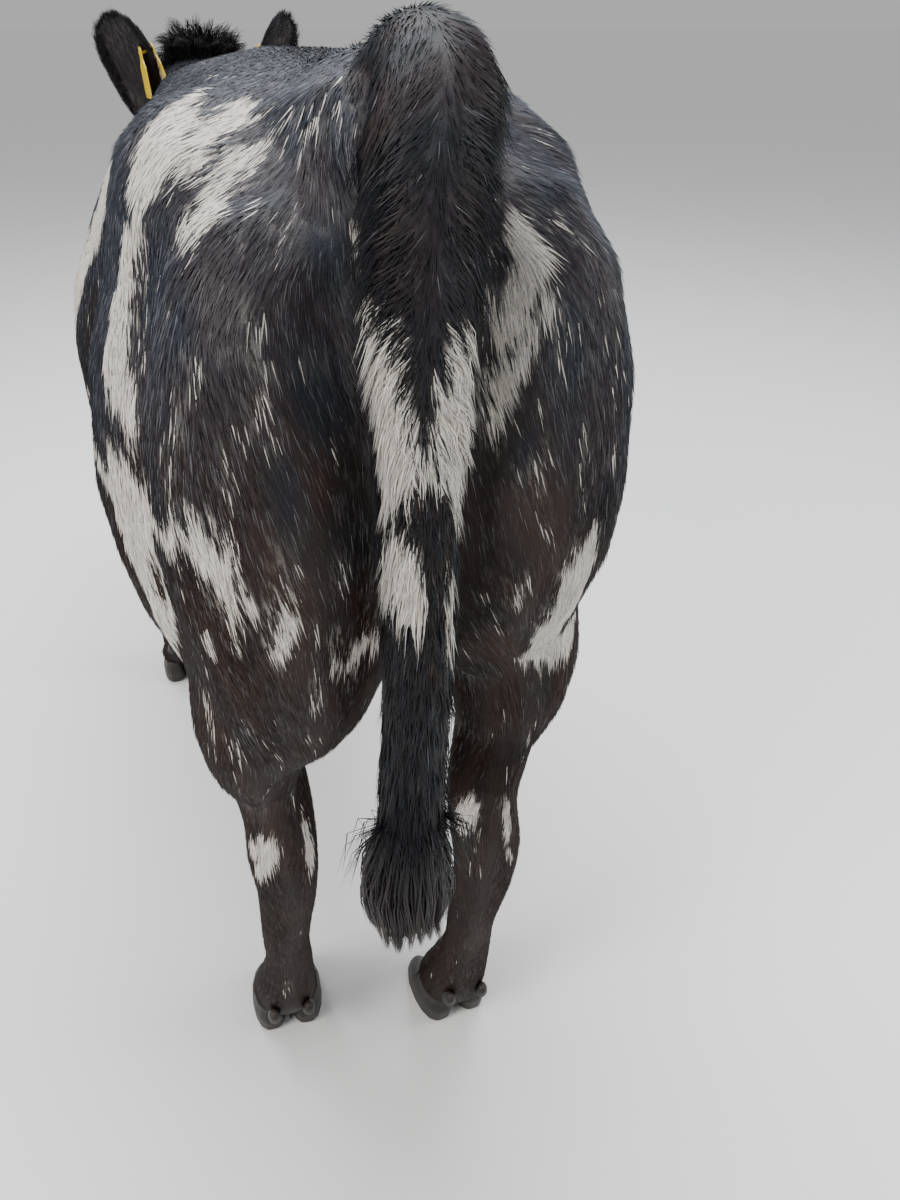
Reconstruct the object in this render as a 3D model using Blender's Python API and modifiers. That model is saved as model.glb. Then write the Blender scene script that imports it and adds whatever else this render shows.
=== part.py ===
"""A standing Belgian Blue heifer at life size, each part of the body in its own mesh.

Metres, +Z up. The animal faces +Y, its right side is +X, and its claws stand on z = 0.
Lengths along the body are counted from the tail head, before the whole is centred.
"""

import math
import random

import bmesh
import bpy
import numpy as np
from mathutils import Euler, Matrix, Vector
from mathutils.bvhtree import BVHTree

# Driving dimensions of the animal.
HIP_HEIGHT = 1.235
WITHERS_HEIGHT = 1.205
THIGH_HALF_WIDTH = 0.272
CHEST_HALF_WIDTH = 0.272
BELLY_HEIGHT = 0.545
WITHERS_AT = 1.090
HIP_SWAY = 0.020

# The head hangs from the poll, and its face slopes down at this angle below level.
POLL = Vector((0.003, WITHERS_AT + 0.475, 1.195))
FACE_SLOPE = math.radians(50)
FACE_STRETCH = 0.955
EYE_RADIUS = 0.0215
EYE_ALONG_FACE = 0.150
EYE_BELOW_BROW = -0.060
EYE_OFF_CENTRE = 0.0890
LID_HALF_LENGTH = 0.0265
LID_HALF_HEIGHT = 0.0185
LID_THICKNESS = 0.0058

EAR_LENGTH = 0.182
EAR_SHEET = 0.0055
EAR_ROOT = (0.115, -0.127, 0.030)
EAR_ROOT_HALF_WIDTH = 0.030
EAR_EXTRA_HALF_WIDTH = 0.030
EAR_BOW = 0.012
# Degrees that the cup of the left and of the right ear is turned from the back to the side.
EAR_TURN = {-1: 36, 1: 48}

# Feet: where each one stands, and where its hock or knee is above it.
FEET = {
    "hind_left": {"foot": (-0.142, 0.205), "joint": (-0.127, 0.105)},
    "hind_right": {"foot": (0.092, 0.150), "joint": (0.110, 0.060)},
    "fore_left": {"foot": (-0.222, 1.120), "joint": (-0.204, 1.105)},
    "fore_right": {"foot": (0.170, 1.205), "joint": (0.178, 1.180)},
}
CLAW_HEIGHT = 0.060
CLAW_WIDTH = 0.049
CLAW_LENGTH = 0.118
CLAW_SPREAD = 0.001
CLAW_SIDES = 14
DEWCLAW_RADII = (0.0100, 0.0125, 0.0190)
DEWCLAW_OFF_CENTRE = 0.023
DEWCLAW_HEIGHT = 0.104
DEWCLAW_TILT = 28

TAG_WIDTH = 0.045
TAG_LENGTH = 0.076
TAG_THICKNESS = 0.0018
TAG_BUTTON_RADIUS = 0.0115
TAG_STUD_RADIUS = 0.0026
TAG_STAND_OFF = 0.0090
TAG_INSIDE_STAND_OFF = 0.0165
TAG_TURN = math.radians(45)
TAG_LEAN = math.radians(12)
TAG_CORNER = 0.006
TAG_SHOULDER = 0.024
TAG_NECK_HALF_WIDTH = 0.0095

GAP = 0.0003
BODY_VOXEL = 0.0085
HEAD_VOXEL = 0.0040

# Most triangles left in each fused piece.
HEAD_TRIANGLES = 2850
BODY_TRIANGLES = 5500

# The poll tuft and the switch, in flat tapered locks of hair.
TUFT_TIERS = (
    # locks, distance of the roots from the crown, length, height of the roots, rise, droop
    (9, 0.032, 0.082, -0.003, 0.012, 0.034),
    (7, 0.016, 0.068, 0.009, 0.016, 0.022),
    (4, 0.004, 0.050, 0.017, 0.016, 0.006),
)
TUFT_LOCK_WIDTH = 0.0165
SWITCH_TIERS = (
    # locks, height above the end of the switch at the root, length, spread outwards
    (7, 0.152, 0.122, 0.015),
    (7, 0.118, 0.118, 0.019),
    (6, 0.070, 0.082, 0.010),
)
SWITCH_LOCK_WIDTH = 0.0125
SWITCH_LENGTH = 0.165
TUFT_LOCK_THICKNESS = 0.0075
SWITCH_LOCK_THICKNESS = 0.0055
LOCK_STEPS = 4
LIP_GROOVE_RADIUS = 0.0034
UDDER_TRIANGLES = 460

part_collection = None
cutter_collection = None


def clear_scene():
    for obj in list(bpy.data.objects):
        bpy.data.objects.remove(obj)


def new_object(name, bm):
    mesh = bpy.data.meshes.new(name)
    bm.to_mesh(mesh)
    bm.free()
    obj = bpy.data.objects.new(name, mesh)
    part_collection.objects.link(obj)
    return obj


def ellipsoid(name, centre, radii, turn=(0, 0, 0), segments=28):
    """A ball scaled to three radii, turned by degrees about X, Y and Z, then placed."""
    bm = bmesh.new()
    place = Matrix.Translation(centre) @ Euler([math.radians(a) for a in turn]).to_matrix().to_4x4()
    bmesh.ops.create_uvsphere(
        bm, u_segments=segments, v_segments=segments // 2, radius=1,
        matrix=place @ Matrix.Diagonal((*radii, 1)),
    )
    return new_object(name, bm)


def both_sides(name, centre, radii, turn=(0, 0, 0)):
    """The same muscle on the right and, mirrored, on the left."""
    x, y, z = centre
    a, b, c = turn
    return [
        ellipsoid(name + "_right", (x, y, z), radii, (a, b, c)),
        ellipsoid(name + "_left", (-x, y, z), radii, (a, -b, -c)),
    ]


def eased_rows(rows, count):
    """Rows of numbers read as a smooth curve through them, at `count` even steps."""
    table = np.array(rows, float)
    padded = np.vstack([2 * table[0] - table[1], table, 2 * table[-1] - table[-2]])
    out = []
    for at in np.linspace(0, len(table) - 1, count):
        i = min(int(at), len(table) - 2)
        t = at - i
        a, b, c, d = padded[i : i + 4]
        out.append(
            0.5 * (2 * b + (c - a) * t + (2 * a - 5 * b + 4 * c - d) * t**2
                   + (3 * b - a - 3 * c + d) * t**3)
        )
    return np.array(out)


def skin_rings(name, rings):
    """A closed loft through rings of equal point count, with a flat cap at each end."""
    bm = bmesh.new()
    made = [[bm.verts.new(point) for point in ring] for ring in rings]
    size = len(made[0])
    for lower, upper in zip(made, made[1:]):
        for i in range(size):
            j = (i + 1) % size
            bm.faces.new((lower[i], lower[j], upper[j], upper[i]))
    bm.faces.new(made[0][::-1])
    bm.faces.new(made[-1])
    bmesh.ops.recalc_face_normals(bm, faces=bm.faces)
    return new_object(name, bm)


def limb(name, rows, count=24, sides=20):
    """A loft along a path. Each row is x, y, z, half width across the body, half depth."""
    table = eased_rows(rows, count)
    rings = []
    for i, row in enumerate(table):
        ahead = Vector(table[min(i + 1, count - 1)][:3]) - Vector(table[max(i - 1, 0)][:3])
        ahead.normalize()
        across = (Vector((1, 0, 0)) - ahead * ahead.x).normalized()
        deep = ahead.cross(across)
        centre = Vector(row[:3])
        ring = []
        for k in range(sides):
            angle = 2 * math.pi * k / sides
            ring.append(centre + across * (row[3] * math.cos(angle)) + deep * (row[4] * math.sin(angle)))
        rings.append(ring)
    return skin_rings(name, rings)


def squared_ring(half_width, top, bottom, widest, power, sides):
    """Points (across, up) of a rounded section whose widest level lies between top and bottom."""
    level = bottom + (top - bottom) * widest
    points = []
    for k in range(sides):
        angle = 2 * math.pi * k / sides
        cos, sin = math.cos(angle), math.sin(angle)
        across = math.copysign(abs(cos) ** (2 / power), cos) * half_width
        reach = top - level if sin > 0 else level - bottom
        points.append((across, level + math.copysign(abs(sin) ** (2 / power), sin) * reach))
    return points


def barrel():
    """The trunk, in rows.

    Each row has its distance from the tail head, top, bottom, half width, the share of the height at
    which it is widest, and how squarely it is rounded.
    """
    rows = [
        (0.010, HIP_HEIGHT - 0.085, 0.860, 0.085, 0.52, 2.35),
        (0.060, HIP_HEIGHT - 0.035, 0.790, 0.130, 0.52, 2.35),
        (0.160, HIP_HEIGHT - 0.012, 0.700, 0.180, 0.52, 2.35),
        (0.320, HIP_HEIGHT - 0.002, 0.640, 0.213, 0.52, 2.35),
        (0.470, HIP_HEIGHT, 0.625, 0.240, 0.52, 2.30),
        (0.620, HIP_HEIGHT - 0.016, BELLY_HEIGHT + 0.030, CHEST_HALF_WIDTH - 0.012, 0.50, 2.10),
        (0.770, HIP_HEIGHT - 0.035, BELLY_HEIGHT, CHEST_HALF_WIDTH, 0.47, 1.92),
        (0.930, WITHERS_HEIGHT - 0.003, BELLY_HEIGHT - 0.004, CHEST_HALF_WIDTH - 0.008, 0.45, 1.88),
        (WITHERS_AT, WITHERS_HEIGHT, BELLY_HEIGHT + 0.006, CHEST_HALF_WIDTH - 0.030, 0.45, 1.88),
        (WITHERS_AT + 0.140, WITHERS_HEIGHT - 0.030, BELLY_HEIGHT + 0.020, 0.205, 0.48, 2.0),
        (WITHERS_AT + 0.240, WITHERS_HEIGHT - 0.090, BELLY_HEIGHT + 0.060, 0.150, 0.50, 2.0),
        (WITHERS_AT + 0.300, WITHERS_HEIGHT - 0.170, BELLY_HEIGHT + 0.140, 0.085, 0.50, 2.0),
    ]
    rings = []
    for y, top, bottom, half_width, widest, power in eased_rows(rows, 56):
        section = squared_ring(half_width, top, bottom, widest, power, 40)
        rings.append([Vector((x, y, z)) for x, z in section])
    return skin_rings("barrel", rings)


def hindquarter_muscles():
    """The rounded double muscles of the rump and thighs, with the groove between them."""
    outer = THIGH_HALF_WIDTH
    pieces = [
        ellipsoid("thigh_left", (0.128 - outer, 0.215, 0.895), (0.128, 0.195, 0.258), (4, 5, 0)),
        ellipsoid("thigh_right", (outer - 0.130, 0.215, 0.926), (0.128, 0.195, 0.236), (4, -5, 0)),
        ellipsoid("stifle_left", (-0.158, 0.350, 0.780), (0.092, 0.135, 0.205), (-14, 0, 0)),
        ellipsoid("stifle_right", (0.144, 0.350, 0.780), (0.080, 0.135, 0.205), (-14, 0, 0)),
        ellipsoid("buttock_left", (-0.112, 0.050, 0.880), (0.112, 0.125, 0.275), (2, 0, 0)),
        ellipsoid("buttock_right", (0.103, 0.050, 0.932), (0.104, 0.122, 0.236), (2, 0, 0)),
        ellipsoid("calf_left", (-0.146, 0.118, 0.660), (0.070, 0.112, 0.160), (16, 0, 0)),
        ellipsoid("calf_right", (0.140, 0.118, 0.660), (0.066, 0.112, 0.160), (16, 0, 0)),
    ]
    pieces += both_sides("rump", (0.110, 0.250, 1.060), (0.110, 0.236, 0.150), (0, 14, 0))
    pieces += both_sides("hook", (0.148, 0.455, 1.060), (0.062, 0.110, 0.095))
    pieces += both_sides("inner_thigh", (0.082, 0.145, 0.780), (0.080, 0.150, 0.135))
    pieces.append(ellipsoid("paunch", (-0.160, 0.640, 0.860), (0.126, 0.300, 0.215)))
    pieces.append(ellipsoid("tail_head", (0, 0.080, HIP_HEIGHT - 0.046), (0.074, 0.130, 0.050), (10, 0, 0)))
    return pieces


def forequarter_muscles():
    """Shoulders, upper arms, breast, brisket and withers."""
    at = WITHERS_AT
    pieces = both_sides("shoulder_blade", (0.152, at + 0.045, 0.900), (0.080, 0.140, 0.195), (-16, -6, 0))
    pieces += both_sides("upper_arm", (0.172, at + 0.030, 0.800), (0.090, 0.140, 0.140), (20, 0, 0))
    pieces += both_sides("shoulder_point", (0.142, at + 0.175, 0.830), (0.088, 0.090, 0.130))
    pieces += both_sides("breast", (0.066, at + 0.175, 0.715), (0.098, 0.110, 0.125))
    pieces.append(ellipsoid("brisket", (0, at + 0.105, 0.625), (0.118, 0.185, 0.088)))
    pieces.append(ellipsoid("withers", (0, at + 0.010, 1.146), (0.118, 0.220, 0.062)))
    return pieces


def hind_leg(side, foot, joint):
    """Shank, hock, cannon and pastern, down to the flat cut where the claws sit."""
    sign = -1 if side == "left" else 1
    foot_x, foot_y = foot
    hock_x, hock_y = joint
    mid_x = (foot_x + hock_x) / 2
    rows = [
        (sign * 0.156, hock_y + 0.225, 0.780, 0.078, 0.122),
        (sign * 0.152, hock_y + 0.140, 0.665, 0.070, 0.104),
        (sign * 0.144, hock_y + 0.074, 0.570, 0.054, 0.076),
        (hock_x, hock_y + 0.022, 0.485, 0.044, 0.056),
        (hock_x, hock_y + 0.006, 0.425, 0.044, 0.051),
        (hock_x, hock_y + 0.012, 0.355, 0.039, 0.045),
        (mid_x, hock_y + 0.026, 0.265, 0.033, 0.037),
        (mid_x, hock_y + 0.042, 0.185, 0.033, 0.036),
        (foot_x, hock_y + 0.056, 0.125, 0.042, 0.044),
        (foot_x, foot_y - 0.022, 0.090, 0.042, 0.043),
        (foot_x, foot_y - 0.004, CLAW_HEIGHT, 0.048, 0.051),
        (foot_x, foot_y + 0.004, CLAW_HEIGHT - 0.030, 0.050, 0.055),
    ]
    pieces = [limb("shank_" + side, rows, 40)]
    tendon = [
        (sign * 0.148, hock_y + 0.050, 0.700, 0.044, 0.046),
        (sign * 0.144, hock_y + 0.010, 0.610, 0.032, 0.038),
        (hock_x, hock_y - 0.024, 0.535, 0.022, 0.025),
        (hock_x, hock_y - 0.036, 0.490, 0.022, 0.022),
        (hock_x, hock_y - 0.030, 0.440, 0.021, 0.021),
        (hock_x, hock_y - 0.020, 0.380, 0.018, 0.018),
        (hock_x, hock_y - 0.004, 0.300, 0.016, 0.016),
    ]
    pieces.append(limb("tendon_" + side, tendon, 24, 14))
    return pieces


def fore_leg(side, foot, joint):
    """Forearm, knee, cannon and pastern, down to the flat cut where the claws sit."""
    sign = -1 if side == "left" else 1
    foot_x, foot_y = foot
    knee_x, knee_y = joint
    mid_x = (foot_x + knee_x) / 2
    rows = [
        (sign * 0.172, WITHERS_AT + 0.035, 0.760, 0.078, 0.110),
        (sign * 0.180, knee_y - 0.010, 0.650, 0.066, 0.090),
        (knee_x, knee_y - 0.004, 0.540, 0.050, 0.062),
        (knee_x, knee_y, 0.455, 0.044, 0.047),
        (knee_x, knee_y + 0.006, 0.395, 0.045, 0.048),
        (mid_x, knee_y + 0.002, 0.335, 0.036, 0.038),
        (mid_x, knee_y - 0.002, 0.255, 0.030, 0.033),
        (mid_x, knee_y, 0.185, 0.031, 0.035),
        (foot_x, knee_y + 0.004, 0.130, 0.041, 0.044),
        (foot_x, foot_y - 0.006, 0.090, 0.041, 0.043),
        (foot_x, foot_y + 0.004, CLAW_HEIGHT, 0.050, 0.053),
        (foot_x, foot_y + 0.010, CLAW_HEIGHT - 0.030, 0.052, 0.056),
    ]
    pieces = [limb("forearm_" + side, rows, 40)]
    pieces.append(ellipsoid("elbow_" + side, (sign * 0.170, knee_y - 0.095, 0.690), (0.050, 0.060, 0.080)))
    return pieces


def neck():
    """The thick neck: rows of centre and half sizes, from between the shoulders to the skull."""
    at = WITHERS_AT
    rows = [
        (0.000, at - 0.010, 0.900, 0.195, 0.285),
        (0.000, at + 0.110, 0.915, 0.172, 0.275),
        (0.000, at + 0.220, 0.940, 0.146, 0.246),
        (0.001, at + 0.320, 0.982, 0.117, 0.204),
        (POLL.x, at + 0.405, 1.034, 0.098, 0.160),
        (POLL.x, at + 0.465, 1.070, 0.092, 0.126),
        (POLL.x, at + 0.505, 1.088, 0.080, 0.094),
    ]
    return limb("neck_core", rows, 26, 28)


def head_place(across, above, along):
    """A point of the head, from its distance along the face, above the face line and across."""
    down = Vector((0, math.cos(FACE_SLOPE), -math.sin(FACE_SLOPE)))
    up = Vector((0, math.sin(FACE_SLOPE), math.cos(FACE_SLOPE)))
    return POLL + Vector((across, 0, 0)) + up * above + down * (along * FACE_STRETCH)


def head_ball(name, across, above, along, radii):
    """An ellipsoid of the head, with its radii across, above and along the face."""
    turn = (math.degrees(FACE_SLOPE) + 90, 0, 0)
    pieces = [ellipsoid(name + "_right", head_place(across, above, along), radii, turn)]
    if across:
        pieces.append(ellipsoid(name + "_left", head_place(-across, above, along), radii, turn))
    return pieces


def skull():
    """The head: rows of distance along the face, top, bottom and half width."""
    rows = [
        (-0.040, -0.045, -0.120, 0.050),
        (-0.010, -0.008, -0.155, 0.088),
        (0.045, 0.006, -0.185, 0.105),
        (0.105, 0.010, -0.202, 0.108),
        (0.150, 0.006, -0.202, 0.105),
        (0.205, -0.002, -0.186, 0.090),
        (0.265, -0.011, -0.168, 0.073),
        (0.325, -0.018, -0.154, 0.063),
        (0.375, -0.021, -0.150, 0.070),
        (0.412, -0.025, -0.148, 0.077),
        (0.434, -0.031, -0.144, 0.074),
        (0.449, -0.042, -0.136, 0.063),
        (0.460, -0.058, -0.122, 0.044),
    ]
    rings = []
    for along, top, bottom, half_width in eased_rows(rows, 44):
        section = squared_ring(half_width, top, bottom, 0.55, 2.7, 36)
        rings.append([head_place(across, above, along) for across, above in section])
    pieces = [skin_rings("skull", rings)]
    jaw = [
        (0.075, -0.090, -0.192, 0.086),
        (0.130, -0.100, -0.212, 0.080),
        (0.200, -0.110, -0.204, 0.064),
        (0.280, -0.115, -0.190, 0.052),
        (0.350, -0.118, -0.186, 0.050),
        (0.396, -0.120, -0.187, 0.051),
        (0.422, -0.126, -0.180, 0.045),
        (0.438, -0.136, -0.168, 0.030),
    ]
    rings = []
    for along, top, bottom, half_width in eased_rows(jaw, 26):
        section = squared_ring(half_width, top, bottom, 0.55, 2.3, 28)
        rings.append([head_place(across, above, along) for across, above in section])
    pieces.append(skin_rings("jaw", rings))
    pieces += head_ball("brow", 0.086, -0.036, 0.140, (0.024, 0.019, 0.042))
    pieces += head_ball("cheek", 0.066, -0.130, 0.115, (0.038, 0.064, 0.074))
    pieces += head_ball("cheek_bone", 0.072, -0.092, 0.200, (0.020, 0.016, 0.060))
    pieces += head_ball("crown", 0.0, -0.004, -0.006, (0.074, 0.028, 0.046))
    pieces += head_ball("ear_root", 0.094, -0.112, 0.030, (0.040, 0.034, 0.032))
    return pieces


def eye_centre(sign):
    return head_place(sign * EYE_OFF_CENTRE, EYE_BELOW_BROW, EYE_ALONG_FACE)


def eye_outward(sign):
    """The way an eye looks: out to the side and a little forward along the face."""
    ahead = head_place(sign * 0.9, 0.10, 0.38) - POLL
    return ahead.normalized()


def eyelids():
    """An almond-shaped rim of skin round each eye, its corners lying back towards the skull."""
    rims = []
    count = 32
    for side, sign in (("right", 1), ("left", -1)):
        out = eye_outward(sign)
        along = head_place(0, 0, 1) - POLL
        along = (along - out * along.dot(out)).normalized()
        up = out.cross(along)
        up *= math.copysign(1, up.dot(head_place(0, 1, 0) - POLL))
        reach = EYE_RADIUS + 0.0010
        bm = bmesh.new()
        ring = []
        for k in range(count):
            angle = 2 * math.pi * k / count
            level = math.sin(angle)
            a = LID_HALF_LENGTH * math.cos(angle)
            u = LID_HALF_HEIGHT * math.copysign(abs(level) ** 0.85, level)
            rise = math.sqrt(max(reach**2 - a**2 - u**2, 0.0105**2))
            ring.append(bm.verts.new(eye_centre(sign) + out * rise + along * a + up * u))
        for k in range(count):
            bm.edges.new((ring[k], ring[(k + 1) % count]))
        rim = new_object("lid_line_" + side, bm)
        rim.modifiers.new("Thick", "SKIN")
        for v in rim.data.skin_vertices[0].data:
            v.radius = (LID_THICKNESS, LID_THICKNESS)
        rim.data.skin_vertices[0].data[0].use_root = True
        rims.append(bake(rim))
    return rims


def bake(obj):
    """The object with its modifiers turned into mesh."""
    bpy.context.view_layer.update()
    graph = bpy.context.evaluated_depsgraph_get()
    mesh = bpy.data.meshes.new_from_object(obj.evaluated_get(graph))
    obj.modifiers.clear()
    obj.data = mesh
    return obj


def stroke(obj, rounds, weight=None):
    """Smooths a skin, everywhere alike or as a weight of each point's place says."""
    smooth = obj.modifiers.new("Stroke", "SMOOTH")
    smooth.factor = 0.5
    smooth.iterations = rounds
    if weight:
        group = obj.vertex_groups.new(name="soft")
        for v in obj.data.vertices:
            group.add([v.index], weight(v.co), "REPLACE")
        smooth.vertex_group = "soft"
    bake(obj)
    obj.vertex_groups.clear()
    return obj


def melt(name, pieces, voxel, relax):
    """The pieces fused into one skin, as clay pressed together and stroked smooth."""
    bm = bmesh.new()
    for piece in pieces:
        bm.from_mesh(piece.data)
        bpy.data.objects.remove(piece)
    obj = new_object(name, bm)
    remesh = obj.modifiers.new("Fuse", "REMESH")
    remesh.mode = "VOXEL"
    remesh.voxel_size = voxel
    return stroke(bake(obj), relax)


def set_aside(cutter):
    """Puts a cutter in the cutters' own collection, left out of renders and drawn as a wire."""
    if cutter.name not in cutter_collection.objects:
        part_collection.objects.unlink(cutter)
        cutter_collection.objects.link(cutter)
    cutter.hide_render = True
    cutter.display_type = "WIRE"


def cut(obj, cutter, operation):
    """A Boolean of closed meshes. The cutter stays."""
    set_aside(cutter)
    modifier = obj.modifiers.new("Cut", "BOOLEAN")
    modifier.operation = operation
    modifier.solver = "MANIFOLD"
    modifier.object = cutter
    return bake(obj)


def lock(name, path, broad, half_width, half_thickness):
    """A flat tapered lock of hair along a path, its broad side lying across `broad`."""
    rings = []
    last = len(path) - 1
    for i, point in enumerate(path):
        ahead = (path[min(i + 1, last)] - path[max(i - 1, 0)]).normalized()
        across = (broad - ahead * broad.dot(ahead)).normalized()
        deep = ahead.cross(across)
        t = i / last
        if t < 0.5:
            share = 0.70 + 0.30 * math.sin(math.pi * min(t * 1.4, 1))
        else:
            share = 1.04 - 0.86 * (2 * t - 1) ** 1.6
        wide, thin = half_width * share, half_thickness * share
        rings.append([point + across * wide, point + deep * thin, point - across * wide, point - deep * thin])
    return skin_rings(name, rings)


def fuse_locks(obj, locks):
    """One union of a piece with all its locks, which are then removed."""
    bunch = bpy.data.collections.new("locks")
    bpy.context.scene.collection.children.link(bunch)
    for piece in locks:
        part_collection.objects.unlink(piece)
        bunch.objects.link(piece)
    modifier = obj.modifiers.new("Locks", "BOOLEAN")
    modifier.operation = "UNION"
    modifier.operand_type = "COLLECTION"
    modifier.collection = bunch
    bake(obj)
    remove(*locks)
    bpy.data.collections.remove(bunch)
    return largest_piece(obj)


def copy_of(obj, name):
    """A second object with its own copy of the mesh."""
    other = bpy.data.objects.new(name, obj.data.copy())
    part_collection.objects.link(other)
    return other


def eased(value):
    """0 below zero, 1 above one, and a soft step between."""
    value = min(max(value, 0.0), 1.0)
    return value * value * (3 - 2 * value)


def sway(obj):
    """The hips carried a little to the right over the standing legs."""
    for v in obj.data.vertices:
        v.co.x += HIP_SWAY * eased(1 - v.co.y / 0.9) * eased((v.co.z - 0.45) / 0.35)


def region(name, corners, grow=0.0):
    """A convex block through eight or more corners, grown outwards by `grow`."""
    bm = bmesh.new()
    for corner in corners:
        bm.verts.new(corner)
    bmesh.ops.convex_hull(bm, input=bm.verts)
    bmesh.ops.recalc_face_normals(bm, faces=bm.faces)
    obj = new_object(name, bm)
    if grow:
        solid = obj.modifiers.new("Grow", "DISPLACE")
        solid.mid_level = 0
        solid.strength = grow
    return bake(obj)


def remove(*objects):
    for obj in objects:
        bpy.data.objects.remove(obj)


def largest_piece(obj):
    """Keeps only the biggest closed surface of a mesh."""
    bm = bmesh.new()
    bm.from_mesh(obj.data)
    bm.verts.ensure_lookup_table()
    seen = set()
    groups = []
    for start in bm.verts:
        if start.index in seen:
            continue
        group, stack = [], [start]
        seen.add(start.index)
        while stack:
            v = stack.pop()
            group.append(v)
            for edge in v.link_edges:
                other = edge.other_vert(v)
                if other.index not in seen:
                    seen.add(other.index)
                    stack.append(other)
        groups.append(group)
    groups.sort(key=len)
    for group in groups[:-1]:
        bmesh.ops.delete(bm, geom=group, context="VERTS")
    bm.to_mesh(obj.data)
    bm.free()
    return obj


def thin_out(obj, triangles, keep=None):
    """Fewer, larger triangles where the surface is calm. keep weighs each point from 0 to 1."""
    bm = bmesh.new()
    bm.from_mesh(obj.data)
    bmesh.ops.triangulate(bm, faces=bm.faces)
    have = len(bm.faces)
    bm.to_mesh(obj.data)
    bm.free()
    if have > triangles:
        modifier = obj.modifiers.new("Thin", "DECIMATE")
        modifier.ratio = triangles / have
        if keep:
            group = obj.vertex_groups.new(name="free")
            for v in obj.data.vertices:
                group.add([v.index], 1 - keep(v.co), "REPLACE")
            modifier.vertex_group = "free"
            modifier.vertex_group_factor = 1.0
        bake(obj)
        obj.vertex_groups.clear()
    return obj


def grown(obj, by=GAP):
    """A copy of a piece a hair larger all round, to cut its neighbours with."""
    other = copy_of(obj, obj.name + "_grown")
    swell = other.modifiers.new("Swell", "DISPLACE")
    swell.mid_level = 0
    swell.strength = by
    return bake(other)


def seat_against(piece, base):
    """Cuts a piece so that it meets its base face to face with the hair-thin gap."""
    cutter = grown(base)
    cut(piece, cutter, "DIFFERENCE")
    remove(cutter)
    return largest_piece(piece)


def parted(body, name, corners):
    """Takes the part of the body inside a block out as its own piece."""
    piece = copy_of(body, name)
    block = region("block", corners)
    cut(piece, block, "INTERSECT")
    wider = region("wider", corners, GAP * 1.5)
    cut(body, wider, "DIFFERENCE")
    remove(block, wider)
    return largest_piece(piece)


def block_corners(low, high, shear=None):
    """Corners of a box; shear moves each corner, from its place, to slant the faces."""
    corners = []
    for x in (low[0], high[0]):
        for y in (low[1], high[1]):
            for z in (low[2], high[2]):
                point = Vector((x, y, z))
                corners.append(point + (shear(point) if shear else Vector()))
    return corners


def build_claws(leg, foot, turn):
    """Two horn claws side by side under a foot, toes forward."""
    centre_x, centre_y = foot
    outer = math.copysign(1, centre_x)
    for side, sign in (("outer", outer), ("inner", -outer)):
        levels = [
            (0.0, 0.90, 0.000),
            (0.004, 1.00, 0.000),
            (CLAW_HEIGHT * 0.55, 0.93, -0.012),
            (CLAW_HEIGHT - GAP * 2, 0.74, -0.026),
        ]
        rings = []
        for height, share, back in levels:
            ring = []
            for k in range(CLAW_SIDES):
                angle = 2 * math.pi * k / CLAW_SIDES
                cos, sin = math.cos(angle), math.sin(angle)
                point = 1.0 if sin > 0 else 0.72
                across = math.copysign(abs(cos) ** (0.72 + 0.5 * max(sin, 0)), cos)
                inner = 0.94 if across * sign < 0 else 1.0
                wide = inner * CLAW_WIDTH / 2 * (0.58 + 0.42 * share)
                x = sign * (CLAW_WIDTH / 2 + CLAW_SPREAD) + across * wide
                y = back + sin * point * CLAW_LENGTH * 0.58 * share + 0.018
                ring.append(Vector((x, y, height)))
            rings.append(ring)
        spin = Matrix.Rotation(math.radians(turn + sign * -3), 4, "Z")
        place = Matrix.Translation((centre_x, centre_y, 0)) @ spin
        rings = [[place @ p for p in ring] for ring in rings]
        skin_rings(f"claw_{leg}_{side}", rings)


def build_dewclaws(leg, foot, heel_y, leg_object):
    """Two small horn buttons behind the fetlock."""
    outer = math.copysign(1, foot[0])
    for side, sign in (("outer", outer), ("inner", -outer)):
        spot = (foot[0] + sign * DEWCLAW_OFF_CENTRE, heel_y, DEWCLAW_HEIGHT)
        dew = ellipsoid(f"dewclaw_{leg}_{side}", spot, DEWCLAW_RADII, (DEWCLAW_TILT, 0, 0), 8)
        seat_against(dew, leg_object)


def ear_axes(sign):
    """The way an ear points, the way its cup opens, and the way across it."""
    outward = Vector((sign * 0.26, -0.08, 0.96)).normalized()
    turn = math.radians(EAR_TURN[sign])
    opening = Vector((sign * math.sin(turn), -math.cos(turn), 0))
    opening = (opening - outward * opening.dot(outward)).normalized()
    return outward, opening, outward.cross(opening)


def ear_point(sign, s, t):
    """A point of the ear's sheet, s from root to tip and t from one edge to the other."""
    outward, opening, across = ear_axes(sign)
    root = head_place(sign * EAR_ROOT[0], EAR_ROOT[1], EAR_ROOT[2])
    half = EAR_ROOT_HALF_WIDTH + EAR_EXTRA_HALF_WIDTH * math.sin(math.pi / 2 * min(s / 0.62, 1))
    half *= math.sqrt(max(1 - (max(s - 0.55, 0) / 0.462) ** 2.3, 0.03))
    roll = 1.90 - 1.45 * min(s / 0.35, 1) ** 0.8
    radius = half / roll
    cup = radius * (1 - math.cos(roll * t)) - EAR_BOW * math.sin(math.pi * s)
    return root + outward * (s * EAR_LENGTH) + across * (radius * math.sin(roll * t)) + opening * cup


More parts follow.
